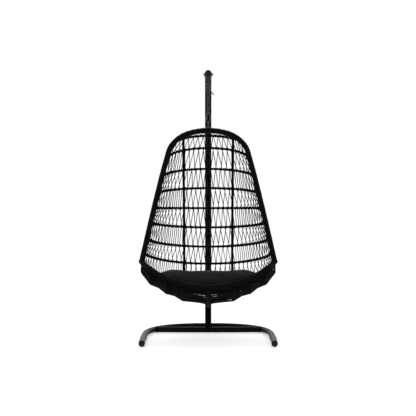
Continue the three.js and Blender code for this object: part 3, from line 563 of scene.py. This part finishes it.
def build_stand():
    base, crossbar, post = base_path(), crossbar_path(), post_path()
    made = Build()
    made.tube(even(base, 260), BASE_RADIUS, 36)
    place(made.object("base_hoop_tube", STEEL), "stand", "stand_steel", "base_tube")
    made = Build()
    made.tube(crossbar, BASE_RADIUS, 36)
    for path in (crossbar, crossbar[::-1]):
        made.tube(*weld_bead(path, BASE_RADIUS, even(base, 700)), 8, closed=True)
    made.tube(*weld_bead(post[:40], POST_RADIUS, even(crossbar, 400)), 8, closed=True)
    place(made.object("crossbar_tube", STEEL), "stand", "stand_steel", "crossbar")

    along = lengths(post)
    split = float(np.interp(POST_JOINT_Z, post[:300, 2], along[:300]))
    gap = POST_JOINT_GAP / 2
    for name, start, stop in (("lower", 0, split - gap), ("upper", split + gap, along[-1])):
        middle = np.linspace(start + POST_EDGE, stop - POST_EDGE, 120)
        steps = np.concatenate([[start], middle, [stop]])
        size = np.full(len(steps), POST_RADIUS)
        size[[0, -1]] -= POST_EDGE
        made = Build()
        made.tube(at_length(post, steps), size, 40)
        # the post takes the darker copy of the coat, painted shade
        place(made.object(f"post_{name}_tube", PAINTED_SHADE_POST_STEEL), "stand", "stand_steel", f"post_{name}")


def build_cap(name, origin, axis, radius):
    """A round plug, turned from (radius, height) pairs."""
    plug = radius - 0.0035
    t = CAP_THICKNESS - 0.0006
    profile = [(plug, -0.016), (plug, 0.0003), (radius - 0.0006, 0.0003), (radius, 0.0009),
               (radius, 0.45 * t), (radius - 0.0007, 0.66 * t)]
    profile += [(out * radius, up * t) for out, up in CAP_FACE] + [(0.001, t)]
    axis = unit(axis)
    a = unit(np.cross((0, 0, 1), axis))
    circle = around(np.linspace(0, 2 * pi, 48, endpoint=False), a, np.cross(axis, a))
    verts = np.vstack([origin + axis * up + out * circle for out, up in profile])
    cap = mesh_object(f"{name}_moulding", verts, skin(len(profile), 48), PLASTIC)
    place(cap, "stand", "black_plastic", name)


def build_caps():
    toe = atan2(2 * BASE_TOE_IN, BASE_WIDEST_Y - BASE_TIP_Y)
    for side, name in ((-1, "left"), (1, "right")):
        origin = (side * (BASE_HALF_WIDTH - BASE_TOE_IN), BASE_TIP_Y, BASE_Z)
        axis = (-side * sin(toe), -cos(toe), 0)
        build_cap(f"base_cap_{name}", origin, axis, BASE_RADIUS)
    build_cap("arm_end_cap", (0, ARM_END_Y, ARM_Z), (0, -1, 0), POST_RADIUS)


# ---- Hanger ----
def turned(points, degrees):
    """Turns points about the hanging line, from their own axes into the chair's."""
    c, s = cos(radians(degrees)), sin(radians(degrees))
    p = np.asarray(points, float)
    return xyz(c * p[:, 0] - s * p[:, 1], s * p[:, 0] + c * p[:, 1] + HANG_Y, p[:, 2])


def wire(name, body, node_name, points, radius, sides=12, closed=False):
    made = Build()
    made.tube(points, radius, sides, closed)
    return place(made.object(name, ZINC), body, "zinc_steel", node_name)


def build_bail():
    bottom = ARM_Z - BAIL_DROP
    shoulder = ARM_Z - BAIL_EYE_RADIUS
    right = [(BAIL_BEND, 0, bottom + 0.1 * BAIL_BEND),
             (0.6 * BAIL_EYE_X, 0, lerp(bottom, shoulder, 0.33)),
             (0.95 * BAIL_EYE_X, 0, lerp(bottom, shoulder, 0.86)),
             (BAIL_EYE_X, 0, shoulder + BAIL_RADIUS)]
    left = [(-x, y, z) for x, y, z in right][::-1]
    made = Build()
    made.tube(turned(spline(left + [(0, 0, bottom)] + right, 90), 0), BAIL_RADIUS, 14)
    ring_radius = BAIL_EYE_RADIUS - 0.0022
    angle = np.linspace(0, 2 * pi, 40, endpoint=False)
    for side in (-1, 1):
        ring = xyz(side * BAIL_EYE_X, ring_radius * np.cos(angle),
                   ARM_Z + ring_radius * np.sin(angle))
        made.tube(turned(ring, 0), BAIL_RING_WIRE, 12, closed=True, first=(1, 0, 0))
    place(made.object("bail_rod", ZINC), "bail", "zinc_steel", "hanger_bail")


def bar_points(bend_z, hook_z, hand, tail=()):
    """A wire from one hook, round a bend at `bend_z`, to the other hook."""
    up = copysign(1, bend_z - hook_z)
    gap, bend, reach = SPRING_BAR_HALF_GAP, SPRING_HOOK_BEND, SPRING_HOOK_REACH
    arc = [(0, gap * cos(a), bend_z - up * gap * (1 - sin(a)))
           for a in np.radians(np.arange(180, -1, -30))]
    first = [(-hand * reach, -gap, hook_z), (-hand * bend, -gap, hook_z),
             (0, -gap, hook_z + up * bend), (0, -gap, hook_z + up * 3 * bend),
             (0, -gap, bend_z - up * 2 * gap)]
    last = [(-x, -y, z) for x, y, z in first[::-1]]
    return spline([*first, *arc, *last, *tail], 150)


def build_spring():
    upper_low, upper_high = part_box("spring_upper_bar")
    lower_low, lower_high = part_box("spring_lower_bar")
    spring_low, spring_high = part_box("spring")
    r = SPRING_BAR_RADIUS
    hook_z = upper_low.z + r + SPRING_TAIL_DROP
    tail = [(SPRING_TAIL[0], SPRING_BAR_HALF_GAP, hook_z + SPRING_TAIL[1])]
    bar = bar_points(upper_high.z - r, hook_z, 1, tail)
    end = np.clip((np.arange(len(bar)) / (len(bar) - 1) - 0.8) / 0.08, 0, 1)
    size = r * (1 + SPRING_TAIL_SWELL * end)
    wire("upper_bar_wire", "spring_top", "spring_upper_bar", turned(bar, 0), size)
    bar = turned(bar_points(lower_low.z + r, lower_high.z - r, -1), 90 + SPRING_FOOT_TURN)
    wire("lower_bar_wire", "chain_upper", "spring_lower_bar", bar, r)
    turn = np.linspace(0, 2 * pi * SPRING_TURNS, int(28 * SPRING_TURNS))
    top, bottom = spring_high.z - SPRING_WIRE_RADIUS, spring_low.z + SPRING_WIRE_RADIUS
    coil = xyz(SPRING_RADIUS * np.cos(turn), SPRING_RADIUS * np.sin(turn),
               np.linspace(top, bottom, len(turn)))
    coil = wire("spring_coil", "spring_top", "spring", turned(coil, 0), SPRING_WIRE_RADIUS)
    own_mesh(coil)


def loop_points(width, height, radius, steps=72):
    """A straight-sided loop of wire in the XZ plane, from the left end of its top."""
    bend = width / 2 - radius
    straight = height / 2 - radius - bend
    arc = np.linspace(0, pi, steps // 2)
    top = xyz(bend * np.sin(arc - pi / 2), 0, straight + bend * np.cos(arc - pi / 2))
    sides = np.linspace(straight, -straight, 10)[1:-1]
    right = xyz(bend, 0, sides)
    return np.vstack([top, right, -top, -right])


def hang_loop(name, node_name, body, width, radius, turn):
    low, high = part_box(node_name)
    points = loop_points(width, high.z - low.z, radius) + (0, 0, (low.z + high.z) / 2)
    # the weld of the link stands a little proud
    seam = 1 + 0.12 * np.exp(-((np.arange(len(points)) - len(points) * 0.3) / 1.6) ** 2)
    wire(name, body, node_name, turned(points, turn), radius * seam / seam.max(), 14, True)


def build_quick_link():
    low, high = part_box("quick_link")
    points = loop_points(QUICK_WIDTH, high.z - low.z, QUICK_RADIUS)
    ordered = even(np.vstack([points, points[:1]]), 240)[:-1]
    inside = (ordered[:, 0] < 0) & (np.abs(ordered[:, 2]) < QUICK_OPENING / 2)
    start = int(np.flatnonzero(inside)[-1]) + 1
    run = np.roll(ordered, -start, 0)[: len(ordered) - int(inside.sum())]
    middle = (0, 0, (low.z + high.z) / 2)
    made = Build()
    made.tube(turned(run + middle, QUICK_TURN), QUICK_RADIUS, 14)
    turn = np.linspace(0, 2 * pi * THREAD_TURNS, 80)
    for direction in (-1, 1):
        height = QUICK_OPENING / 2 + THREAD_START + turn / (2 * pi) * THREAD_PITCH
        x = QUICK_RADIUS - QUICK_WIDTH / 2 + QUICK_RADIUS * np.cos(turn)
        thread = xyz(x, QUICK_RADIUS * np.sin(turn), direction * height)
        made.tube(turned(thread + middle, QUICK_TURN), THREAD_RADIUS, 5)
    place(made.object("quick_link_wire", ZINC), "chain_lower", "zinc_steel", "quick_link")


def build_hanger():
    build_bail()
    build_spring()
    for i, turn in enumerate(LINK_TURNS, 1):
        body = "chain_upper" if i < 3 else "chain_lower"
        hang_loop(f"link_{i}_wire", f"chain_link_{i}", body, LINK_WIDTH, LINK_RADIUS, turn)
    build_quick_link()
    hang_loop("eye_ring", "basket_eye", "basket", EYE_WIDTH, EYE_RADIUS, 0)


def coat(mesh, material):
    mesh.materials.clear()
    mesh.materials.append(material)


def coat_plain_pieces():
    """Materials of the pieces that are shown as their own solids."""
    for name in ("post_bolt", "hanger_bolt", "hanger_nut", "quick_link_sleeve"):
        coat(nodes[name].data, ZINC)
    for name in nodes:
        if name.startswith("glide_"):
            coat(nodes[name].data, PLASTIC)
    coat(nodes["post_spigot"].data, STEEL)


# ---- Basket frame ----
# Points are measured from the middle of the rim tube at the top, and `settle` brings them
# into the chair's frame.
RIM_TOP = np.array([0, HANG_Y + SET_BACK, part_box("rim_arch")[1].z - RIM_RADIUS])


def settle(points):
    return np.asarray(points, float) + RIM_TOP


def lip_point(share):
    share = np.asarray(share, float)
    square = share**2
    rise = LIP_RISE * ((1 - LIP_CURL) * square + LIP_CURL * square**2)
    return xyz(LIP_HALF_WIDTH * share, LIP_SWEEP * square - LIP_REACH, rise - LIP_DROP)


RIM_FOOT = lip_point(RIM_FOOT_SHARE)
BASKET_MIDDLE = np.array([0, 0, RIM_FOOT[2] * 0.6])


def rim_points():
    right = [RIM_FOOT * (out, 1 - up, 1 - up) for out, up in RIM_OUTLINE]
    apart = np.linalg.norm(right[1] - right[0])
    right[0] = lerp(right[0], right[1], LIP_RADIUS / 2 / apart)
    left = [p * (-1, 1, 1) for p in right[:-1]][::-1]
    return spline(right + left, 1600)


RIM = rim_points()
RIM_RIGHT = RIM[:801]


def rim_at_height(z):
    return between(z, RIM_RIGHT[:, 2], RIM_RIGHT)


def rim_at_x(x):
    order = RIM_RIGHT[::-1]
    out = between(np.minimum(np.abs(x), RIM_FOOT[0]), order[:, 0], order)
    out[..., 0] *= np.where(x < 0, -1, 1)
    return out


def back_row(rim, back, depth):
    end = rim_at_height(RIM_FOOT[2] * (1 - rim))
    middle = np.array([0, BACK_DEPTH * depth, RIM_FOOT[2] * (1 - back)])

    def row(share):
        share = np.asarray(share, float)
        inward = np.sqrt(np.maximum(0, 1 - share**2))
        return xyz(end[0] * share, lerp(end[1], middle[1], inward), lerp(end[2], middle[2], inward))

    return row


BACK_ROWS = [back_row(*hoop) for hoop in BACK_HOOPS]


def keel_point(share):
    side = 1 - np.sqrt(np.maximum(0, 1 - share**2))
    rise = KEEL_SLOPE_RISE * np.abs(share) ** 1.5 + KEEL_SIDE_RISE * side**2
    return xyz(KEEL_HALF_WIDTH * share, KEEL_DEPTH - KEEL_SWEEP * side, rise - KEEL_DROP)


def bowl_row(turn):
    down, out = sin(radians(turn)), abs(cos(radians(turn)))

    def row(share):
        share = np.asarray(share, float)
        keel = keel_point(share)
        edge = BACK_ROWS[-1](share) if turn < 90 else lip_point(share)
        return xyz(lerp(edge[..., 0], keel[..., 0], down), lerp(keel[..., 1], edge[..., 1], out),
                   lerp(edge[..., 2], keel[..., 2], down))

    return row


ROWS = BACK_ROWS + [bowl_row(turn) for turn in BOWL_TURNS]
REACH = [90] * len(BACK_ROWS) + BOWL_REACH
TOP_HALF = float(ROWS[0](1.0)[0])


def rim_row(share):
    return rim_at_x(np.asarray(share, float) * TOP_HALF * 0.999)


WALL = [rim_row] + ROWS + [lip_point]  # lines across the wall, from the rim's top to the lip
WALL_RADIUS = [RIM_RADIUS] + [HOOP_RADIUS] * len(ROWS) + [LIP_RADIUS]


def wall_normal(here, along, down):
    normal = unit(np.cross(along, down))
    return -normal if normal @ (here - BASKET_MIDDLE) < 0 else normal


def outward(index, share):
    """The wall's outward direction where a row passes one share."""
    share = float(share)
    here = WALL[index](share)
    along = WALL[index](share + 0.01) - WALL[index](share - 0.01)

    def same_x(other):
        if not 0 <= other < len(WALL):
            return here
        across = here[0] / WALL[other](1.0)[0]
        return WALL[other](across) if abs(across) < 1 else here

    return wall_normal(here, along, same_x(index + 1) - same_x(index - 1))


def wrap(name, material, path, radius, pitch=ROD_PITCH, sides=12, taper=0.0, replaced=()):
    made = Build()
    made.wound(settle(path), radius, pitch, sides, taper)
    place(made.object(f"{name}_winding", material), "basket", "wicker_wrap", *replaced)


def build_rim_and_lip():
    wrap("rim", WRAP, RIM, RIM_RADIUS + RIM_WRAP, RIM_PITCH, 22, replaced=["rim_arch"])
    # the lip takes the lighter copy of the winding, painted light
    wrap("lip", PAINTED_LIGHT_WRAP, lip_point(np.linspace(-1, 1, 300)), LIP_RADIUS + ROD_WRAP / 2,
         RIM_PITCH, 22, LIP_TAPER, ["front_lip"])


def build_hoops():
    for i, row in enumerate(ROWS):
        reach = radians(REACH[i])
        path = row(np.sin(np.linspace(-reach, reach, 160)))
        name = f"hoop_{i + 1:02d}"
        wrap(name, WRAP, path, HOOP_RADIUS + ROD_WRAP, replaced=[name])


def rib_points(x, first_row=1):
    offset = HOOP_RADIUS + RIB_RADIUS - RIB_SEAT_DEPTH
    points = []
    for index in range(first_row, len(WALL) - 1):
        share = x / WALL[index](1.0)[0]
        points.append(WALL[index](share) + outward(index, share) * offset)
    share = x / LIP_HALF_WIDTH
    wall = outward(len(WALL) - 1, share) * (RIB_RADIUS + RIB_END_LIFT)
    points.append(lip_point(share) + wall - (0, 0, 0.6 * LIP_RADIUS))
    return points


def full_rib_points(x):
    start = rim_at_x(x)
    points = rib_points(x)
    inward = unit((points[0] - start) * (0, 1, 1))
    wall = outward(1, x / ROWS[0](1.0)[0]) * (RIB_RADIUS + RIB_END_LIFT)
    return [start + wall + inward * 0.6 * RIM_RADIUS] + points


def rib_table():
    """Each rib's place, points and the first row that it crosses."""
    full = {"rib_centre": 0.0, "rib_left": -RIB_X, "rib_right": RIB_X}
    table = {name: (x, full_rib_points(x), 1) for name, x in full.items()}
    first = len(BACK_ROWS) + 1
    for i, x in enumerate([-SIDE_RIB_X[1], -SIDE_RIB_X[0], *SIDE_RIB_X], 1):
        table[f"rib_side_{i}"] = (x, rib_points(x, first), first)
    return table


def build_ribs():
    """Each rib in two lengths: the front one takes a lighter copy of the winding, painted light
    where it catches more light.
    """
    for name, (_, points, _) in rib_table().items():
        path = spline(points, 300)
        lowest = int(np.argmin(path[:, 2]))
        wrap(name, WRAP, path[:lowest + 1], RIB_RADIUS + ROD_WRAP, replaced=[name])
        wrap(f"{name}_front", PAINTED_LIGHT_WRAP, path[lowest:], RIB_RADIUS + ROD_WRAP)


# ---- Strands ----
def local_axes(index, share):
    """Centre, direction along the row and outward direction at one share of a row."""
    row, step = WALL[index], 0.004
    along = unit(row(min(share + step, 1)) - row(max(share - step, -1)))
    out = outward(max(index, 1), share)
    return row(share), along, unit(out - along * (out @ along))


def band_strand(index, shares, low_first, sharp, slack=0.0):
    """A strand that zigzags between two rows. It comes to a rod on one face, turns over it and
    leaves on the other. Sharp tips between the ribs are twisted into a knot."""
    upper, lower = WALL[index], WALL[index + 1]
    points = []
    for k, share in enumerate(shares):
        at_bottom = (k % 2 == 0) == low_first
        row = index + 1 if at_bottom else index
        other = upper if at_bottom else lower
        centre, along, out = local_axes(row, share)
        toward = other(share) - centre
        toward = unit(toward - along * (toward @ along))
        face = unit(out - toward * (out @ toward)) * (1 if sharp else -1)
        size = WALL_RADIUS[row] + STRAND_RADIUS * 0.8
        between_ribs = abs(centre[0]) < RIB_X + 0.01
        knotted = sharp and between_ribs
        centre = centre + along * TIP_WANDER * rng.standard_normal()
        opening = KNOT_OPENING if knotted else TIP_OPENING if between_ribs else SIDE_OPENING
        shift = along * (opening + slack)
        length = (KNOT_LENGTH if knotted else SOFT_LENGTH) * (1 + 0.3 * rng.standard_normal())
        neck = centre + toward * (size + length)
        if between_ribs:
            points.append(neck + face * STRAND_RADIUS * 0.9 - shift)
        for turn in WRAP_TURNS:
            angle = radians(turn)
            spot = toward * sin(angle) + face * cos(angle)
            points.append(centre + spot * size - shift * (turn + 90) / 90)
        if between_ribs:
            points.append(neck - face * STRAND_RADIUS * 0.9 + shift)
    return np.array(points)


def even_shares(index, reach, spacing):
    """Shares at even distances along the middle of a band, mirrored about its centre."""
    angle = np.linspace(0, reach, 200)
    middle = (WALL[index](np.sin(angle)) + WALL[index + 1](np.sin(angle))) / 2
    total = lengths(middle)
    count = max(2, int(round(total[-1] / spacing)))
    half = np.sin(np.interp(np.linspace(0, total[-1], count + 1), total, angle))
    return np.concatenate([-half[:0:-1], half])


def build_strands():
    reaches = [RIM_STRAND_REACH, *REACH, LIP_STRAND_REACH]
    for index in range(len(WALL) - 1):
        width = WALL[index + 1](1.0)[0]
        reach = radians(min(reaches[index:index + 2])) - STRAND_END_GAP / width
        bowl = index > len(BACK_ROWS)
        shares = even_shares(index, reach, BOWL_TIP_SPACING if bowl else TIP_SPACING)
        odd = index % 2 == 1
        strands = [band_strand(index, shares, odd, not odd and not bowl)]
        if bowl:
            strands.append(band_strand(index, shares, not odd, False, 0.001))
        made = Build()
        for points in strands:
            made.tube(settle(spline(points, int(len(points) * 3.2))), STRAND_RADIUS, 6)
        name = f"weave_{index + 1:02d}"
        place(made.object(f"{name}_strands", STRAND), "basket", "wicker_strand", name)


def bowl_normal(turn, share):
    row = bowl_row(turn)
    along = row(share + 0.01) - row(share - 0.01)
    return wall_normal(row(share), along, bowl_row(turn + 2)(share) - bowl_row(turn - 2)(share))


def net_strand(made, turn, number, inner):
    """One flat strand round the bowl, or its two ends alone where it stays outside `inner`."""
    ribs = sorted([0.0, -RIB_X, RIB_X, *SIDE_RIB_X, *(-x for x in SIDE_RIB_X)])
    row = bowl_row(turn)
    width = row(1.0)[0]
    end = width * sin(radians(np.interp(turn, *NET_REACH)))
    marks = [-end, *(x for x in ribs if abs(x) < end - 0.02), end]
    runs = [[x for x in marks if x <= -inner], [x for x in marks if x >= inner]]
    for run in runs if inner else [marks]:
        corners = []
        for x in run:
            over = (number + marks.index(x)) % 3 == 0
            lift = RIB_RADIUS + HOOP_RADIUS - RIB_SEAT_DEPTH
            lift += ((RIB_RADIUS + NET_CLEARANCE) * (1 if over else -0.9)
                     + NET_WANDER * rng.standard_normal())
            if abs(x) in (end, inner):
                lift = HOOP_RADIUS if abs(x) == end else 0.3 * HOOP_RADIUS
            corners.append(row(x / width) + bowl_normal(turn, x / width) * lift)
        corners = np.array(corners)
        path = even(corners, int(lengths(corners)[-1] / 0.006))
        normal = bowl_normal(turn, 0.97 * run[0] / width)
        made.tube(settle(soften(path, 3)), NET_WIDTH, 6, first=normal, flat=NET_FLATNESS)


def build_net():
    """Flat strands drawn straight from rib to rib round the bowl, under two and over the third."""
    made = Build()
    turns = np.linspace(NET_SIDES_FROM, NET_TO, 300)
    total = lengths(np.array([bowl_row(turn)(0.0) for turn in turns]))
    steps = np.linspace(0, total[-1], int(total[-1] / NET_SPACING))
    for number, turn in enumerate(np.interp(steps, total, turns)):
        if abs(turn - NET_SLIT) > NET_SLIT_WIDTH / 2:
            net_strand(made, turn, number, SIDE_RIB_X[0] if turn < NET_MIDDLE_FROM else 0)
    place(made.object("bowl_net", STRAND), "basket", "wicker_strand")


def soften(path, times):
    for _ in range(times):
        path[1:-1] = 0.25 * path[:-2] + 0.5 * path[1:-1] + 0.25 * path[2:]
    return path


def lashing(made, centre, a, b, normal):
    """Two crossed bindings round a pair of rods that touch at `centre`."""
    turn = np.linspace(0, LASH_TURNS, LASH_TURNS * 16)
    angle = turn * 2 * pi
    shift = ((turn - LASH_TURNS / 2) * LASH_PITCH)[:, None]
    for diagonal, across in ((unit(a + b), unit(a - b)), (unit(a - b), unit(a + b))):
        depth = np.cos(angle)[:, None] * normal * LASH_DEPTH
        path = centre + depth + np.sin(angle)[:, None] * diagonal * LASH_REACH + shift * across
        made.tube(path, LASH_RADIUS, 6)


def build_lashings():
    """Bindings where ribs cross hoops, and where hoops end on the rim."""
    made = Build()
    for x, _, first in rib_table().values():
        for index in range(first, len(WALL) - 1):
            share = x / WALL[index](1.0)[0]
            if abs(share) > sin(radians(REACH[index - 1])):
                continue
            centre, along, out = local_axes(index, share)
            down = unit(WALL[index + 1](share) - centre)
            down = unit(down - along * (down @ along))
            lashing(made, settle(centre + out * (RIB_RADIUS - 0.001)), along, down, out)
    rows, fine = np.arange(60), np.linspace(0, 59, 200)
    angle = np.linspace(0, 2 * pi * BAND_TURNS, len(fine))
    rise = np.linspace(-BAND_HALF_LENGTH, BAND_HALF_LENGTH, len(rows))
    for row in BACK_ROWS:
        for side in (-1, 1):
            run = rim_at_height(row(float(side))[2] + rise) * (side, 1, 1)
            _, a, b = frames(run)
            centre = at_length(run, np.linspace(0, lengths(run)[-1], len(fine)))
            circle = around(angle, between(fine, rows, a), between(fine, rows, b))
            made.tube(settle(centre + (RIM_RADIUS + 0.0004) * circle), BAND_RADIUS, 6)
    place(made.object("frame_lashings", STRAND), "basket", "wicker_strand")


# ---- Cushion ----
VOXEL = 0.006
SHRINK = 0.011  # how much smaller the pad starts before it swells
SWELL = 0.026  # the most that a point may move
PROUD_TOP = 0.016  # how far the pad may stand out over its solid
SIDE_LIFT = 0.036  # how much fuller the pad's sides are than the solid
SIDE_LIFT_SPAN = (0.1, 0.34)
CROWN_LIFT = 0.004
TOP_WIDENING = 0.03
SEAM_SOFTNESS = 0.03  # how far from the seam the pad stays drawn in
SEAM_HOLD = 0.005
PRESSURE = 4
LAST_FRAME = 20
PIPING_RADIUS = 0.0038
PIPING_INSET = 0.002 / 0.35  # share by which the piping is drawn in


def smooth_step(value, low, high):
    share = np.clip((value - low) / (high - low), 0, 1)
    return share * share * (3 - 2 * share)


def side_lift(x):
    return SIDE_LIFT * smooth_step(np.abs(x), *SIDE_LIFT_SPAN)


def points_of(obj):
    flat = np.empty(3 * len(obj.data.vertices))
    obj.data.vertices.foreach_get("co", flat)
    return flat.reshape(-1, 3)


def set_points(obj, points):
    obj.data.vertices.foreach_set("co", points.ravel())
    obj.data.update()


def normals_of(obj):
    return np.array([v.normal for v in obj.data.vertices])


def apply_modifiers(obj):
    graph = bpy.context.evaluated_depsgraph_get()
    mesh = bpy.data.meshes.new_from_object(obj.evaluated_get(graph))
    obj.modifiers.clear()
    obj.data = mesh


def outer_loop(points, count=120):
    """The widest line round a pad, seen from above."""
    middle = (points.max(0) + points.min(0)) / 2
    flat = points - middle
    angle = np.arctan2(flat[:, 1], flat[:, 0])
    reach = np.hypot(flat[:, 0], flat[:, 1])
    loop = []
    for i in range(count):
        at = -pi + 2 * pi * (i + 0.5) / count
        near = np.abs((angle - at + pi) % (2 * pi) - pi) < pi / count
        best = np.flatnonzero(near)[np.argsort(-reach[near])[:4]]
        loop.append(points[best].mean(0))
    loop = np.array(loop)
    for _ in range(3):
        loop = 0.25 * np.roll(loop, 1, 0) + 0.5 * loop + 0.25 * np.roll(loop, -1, 0)
    return loop


def distance_to(loop, points):
    fine = even(np.vstack([loop, loop[:1]]), 600)
    out = np.empty(len(points))
    for start in range(0, len(points), 4000):
        part = points[start:start + 4000]
        out[start:start + 4000] = np.sqrt(((part[:, None] - fine[None]) ** 2).sum(2).min(1))
    return out


def puff(obj, seam_distance):
    """Inflates the pad as cloth that is held along its seam."""
    start = points_of(obj)
    held = obj.vertex_groups.new(name="seam")
    held.add([int(i) for i in np.flatnonzero(seam_distance < SEAM_HOLD)], 1.0, "REPLACE")
    settings = obj.modifiers.new("cloth", "CLOTH").settings
    settings.use_pressure = True
    settings.uniform_pressure_force = PRESSURE
    settings.effector_weights.gravity = 0
    settings.vertex_group_mass = "seam"
    settings.quality = 5
    scene = bpy.context.scene
    for number in range(1, LAST_FRAME + 1):
        scene.frame_set(number)
    graph = bpy.context.evaluated_depsgraph_get()
    moved = np.array([v.co for v in obj.evaluated_get(graph).data.vertices])
    obj.modifiers.clear()
    scene.frame_set(1)
    shift = moved - start
    size = np.linalg.norm(shift, axis=1, keepdims=True)
    shift *= np.minimum(1, SWELL / np.maximum(size, 1e-9))
    set_points(obj, start + shift)


def keep_in(obj, solid):
    """Brings points back that stand too far out of the solid."""
    tree = BVHTree.FromObject(solid, bpy.context.evaluated_depsgraph_get())
    points = points_of(obj)
    for i, point in enumerate(points):
        spot, normal, _, _ = tree.find_nearest(Vector(point))
        out = (Vector(point) - spot) @ normal
        limit = (PROUD_TOP + side_lift(point[0])) * min(1, 2 * max(0, normal.z))
        if out > limit:
            points[i] = point - np.array(normal) * (out - limit)
    set_points(obj, points)


def build_cushion():
    source = nodes["seat_cushion"]
    pad = new_object("cushion_pad", source.data.copy())
    remesh = pad.modifiers.new("remesh", "REMESH")
    remesh.mode = "VOXEL"
    remesh.voxel_size = VOXEL
    apply_modifiers(pad)
    points = points_of(pad)
    loop = outer_loop(points)
    apart = distance_to(loop, points)
    upper = smooth_step(normals_of(pad)[:, 2], -0.5, 0.4)
    points[:, 2] += upper * (CROWN_LIFT + side_lift(points[:, 0]))
    points[:, 0] *= 1 + TOP_WIDENING * upper
    set_points(pad, points)
    loop[:, 2] += 0.5 * side_lift(loop[:, 0])
    inward = SHRINK * (1 - np.exp(-(apart / SEAM_SOFTNESS) ** 2))
    set_points(pad, points_of(pad) - normals_of(pad) * inward[:, None])
    puff(pad, apart)
    keep_in(pad, source)
    subdivide = pad.modifiers.new("smooth", "SUBSURF")
    subdivide.levels = subdivide.render_levels = 1
    apply_modifiers(pad)
    pad.data.name = "cushion_pad"
    coat(pad.data, CLOTH)
    shade_smooth(pad.data)
    place(pad, "cushion", "cushion_fabric", "seat_cushion")
    made = Build()
    seam = even(np.vstack([loop, loop[:1]]), 360)[:-1]
    seam = seam - (seam - seam.mean(0)) * PIPING_INSET
    made.tube(seam, PIPING_RADIUS, 10, closed=True)
    place(made.object("cushion_piping", CLOTH), "cushion", "cushion_fabric")


# ---- Stage ----
GLOW_NEAR = 0.56  # glow of the floor by the chair, where the lamps reach it
GLOW_FAR = 0.66
WORLD_LIGHT = 0.5  # strength of the white world on the object, and as the backdrop
WORLD_SEEN = 1.0


def seen_rays(tree):
    """1 for the rays that show the backdrop itself, 0 for those that light the object."""
    path = node(tree, "ShaderNodeLightPath").outputs
    seen = path["Is Camera Ray"]
    for kind in ("Is Glossy Ray", "Is Transmission Ray"):
        made = node(tree, "ShaderNodeMath", {0: seen, 1: path[kind]}, operation="MAXIMUM")
        seen = made.outputs["Value"]
    return seen


def build_stage():
    corners = [(-12, -9, 0), (12, -9, 0), (12, 18, 0), (-12, 18, 0)]
    floor = mesh_object("floor", corners, [(0, 1, 2, 3)], stage_material())
    world = bpy.data.worlds.new("studio")
    bpy.context.scene.world = world
    world.use_nodes = True
    tree = world.node_tree
    background = tree.nodes["Background"]
    levels = {"Value": seen_rays(tree), "To Min": WORLD_LIGHT, "To Max": WORLD_SEEN}
    strength = node(tree, "ShaderNodeMapRange", levels).outputs["Result"]
    tree.links.new(strength, background.inputs["Strength"])
    background.inputs["Color"].default_value = (1, 1, 1, 1)
    area_light("key", (-2.2, -3.0, 3.6), (0, 0, 1.0), 2.6, 22)
    area_light("fill", (2.8, -3.2, 2.2), (0, 0, 0.9), 2.4, 11)
    area_light("top", (0, 0.6, 4.2), (0, 0, 0), 3.0, 38)
    area_light("back", (0.4, 3.4, 2.8), (0, 0, 1.0), 2.4, 16)


def stage_material():
    material = bpy.data.materials.new("pale_floor")
    material.use_nodes = True
    tree = material.node_tree
    tree.nodes.clear()
    plain = node(tree, "ShaderNodeBsdfDiffuse", {"Color": (0.8, 0.8, 0.8, 1)}).outputs[0]
    ground = node(tree, "ShaderNodeNewGeometry").outputs["Position"]
    far = node(tree, "ShaderNodeVectorMath", {0: ground}, operation="LENGTH").outputs["Value"]
    span = {"Value": far, "From Min": 0.8, "From Max": 5.0, "To Min": GLOW_NEAR, "To Max": GLOW_FAR}
    level = node(tree, "ShaderNodeMapRange", span, interpolation_type="SMOOTHSTEP").outputs[0]
    glow = node(tree, "ShaderNodeEmission", {"Color": (1, 1, 1, 1), "Strength": level}).outputs[0]
    white = node(tree, "ShaderNodeAddShader", {0: plain, 1: glow}).outputs[0]
    mix = node(tree, "ShaderNodeMixShader", {0: seen_rays(tree), 1: plain, 2: white})
    node(tree, "ShaderNodeOutputMaterial", {"Surface": mix.outputs[0]})
    return material


def area_light(name, at, aim, size, power):
    data = bpy.data.lights.new(name, "AREA")
    data.shape = "SQUARE"
    data.size = size
    data.energy = power
    light = new_object(name, data)
    light.location = at
    light.rotation_euler = (Vector(aim) - Vector(at)).to_track_quat("-Z", "Y").to_euler()


def build_camera():
    data = bpy.data.cameras.new("camera")
    data.lens = LENS_MM
    data.sensor_width = SENSOR_MM
    data.shift_x = -OFF_CENTRE_PX[0] / IMAGE_WIDTH
    data.shift_y = OFF_CENTRE_PX[1] / IMAGE_WIDTH
    camera = new_object("camera", data)
    camera.location = CAMERA_PLACE
    camera.rotation_euler = (pi / 2, 0, 0)
    bpy.context.scene.camera = camera


build_camera()
build_stage()
build_stand()
build_caps()
build_hanger()
coat_plain_pieces()
build_rim_and_lip()
build_hoops()
build_ribs()
build_strands()
build_net()
build_lashings()
build_cushion()
bpy.context.scene.view_settings.view_transform = "Standard"
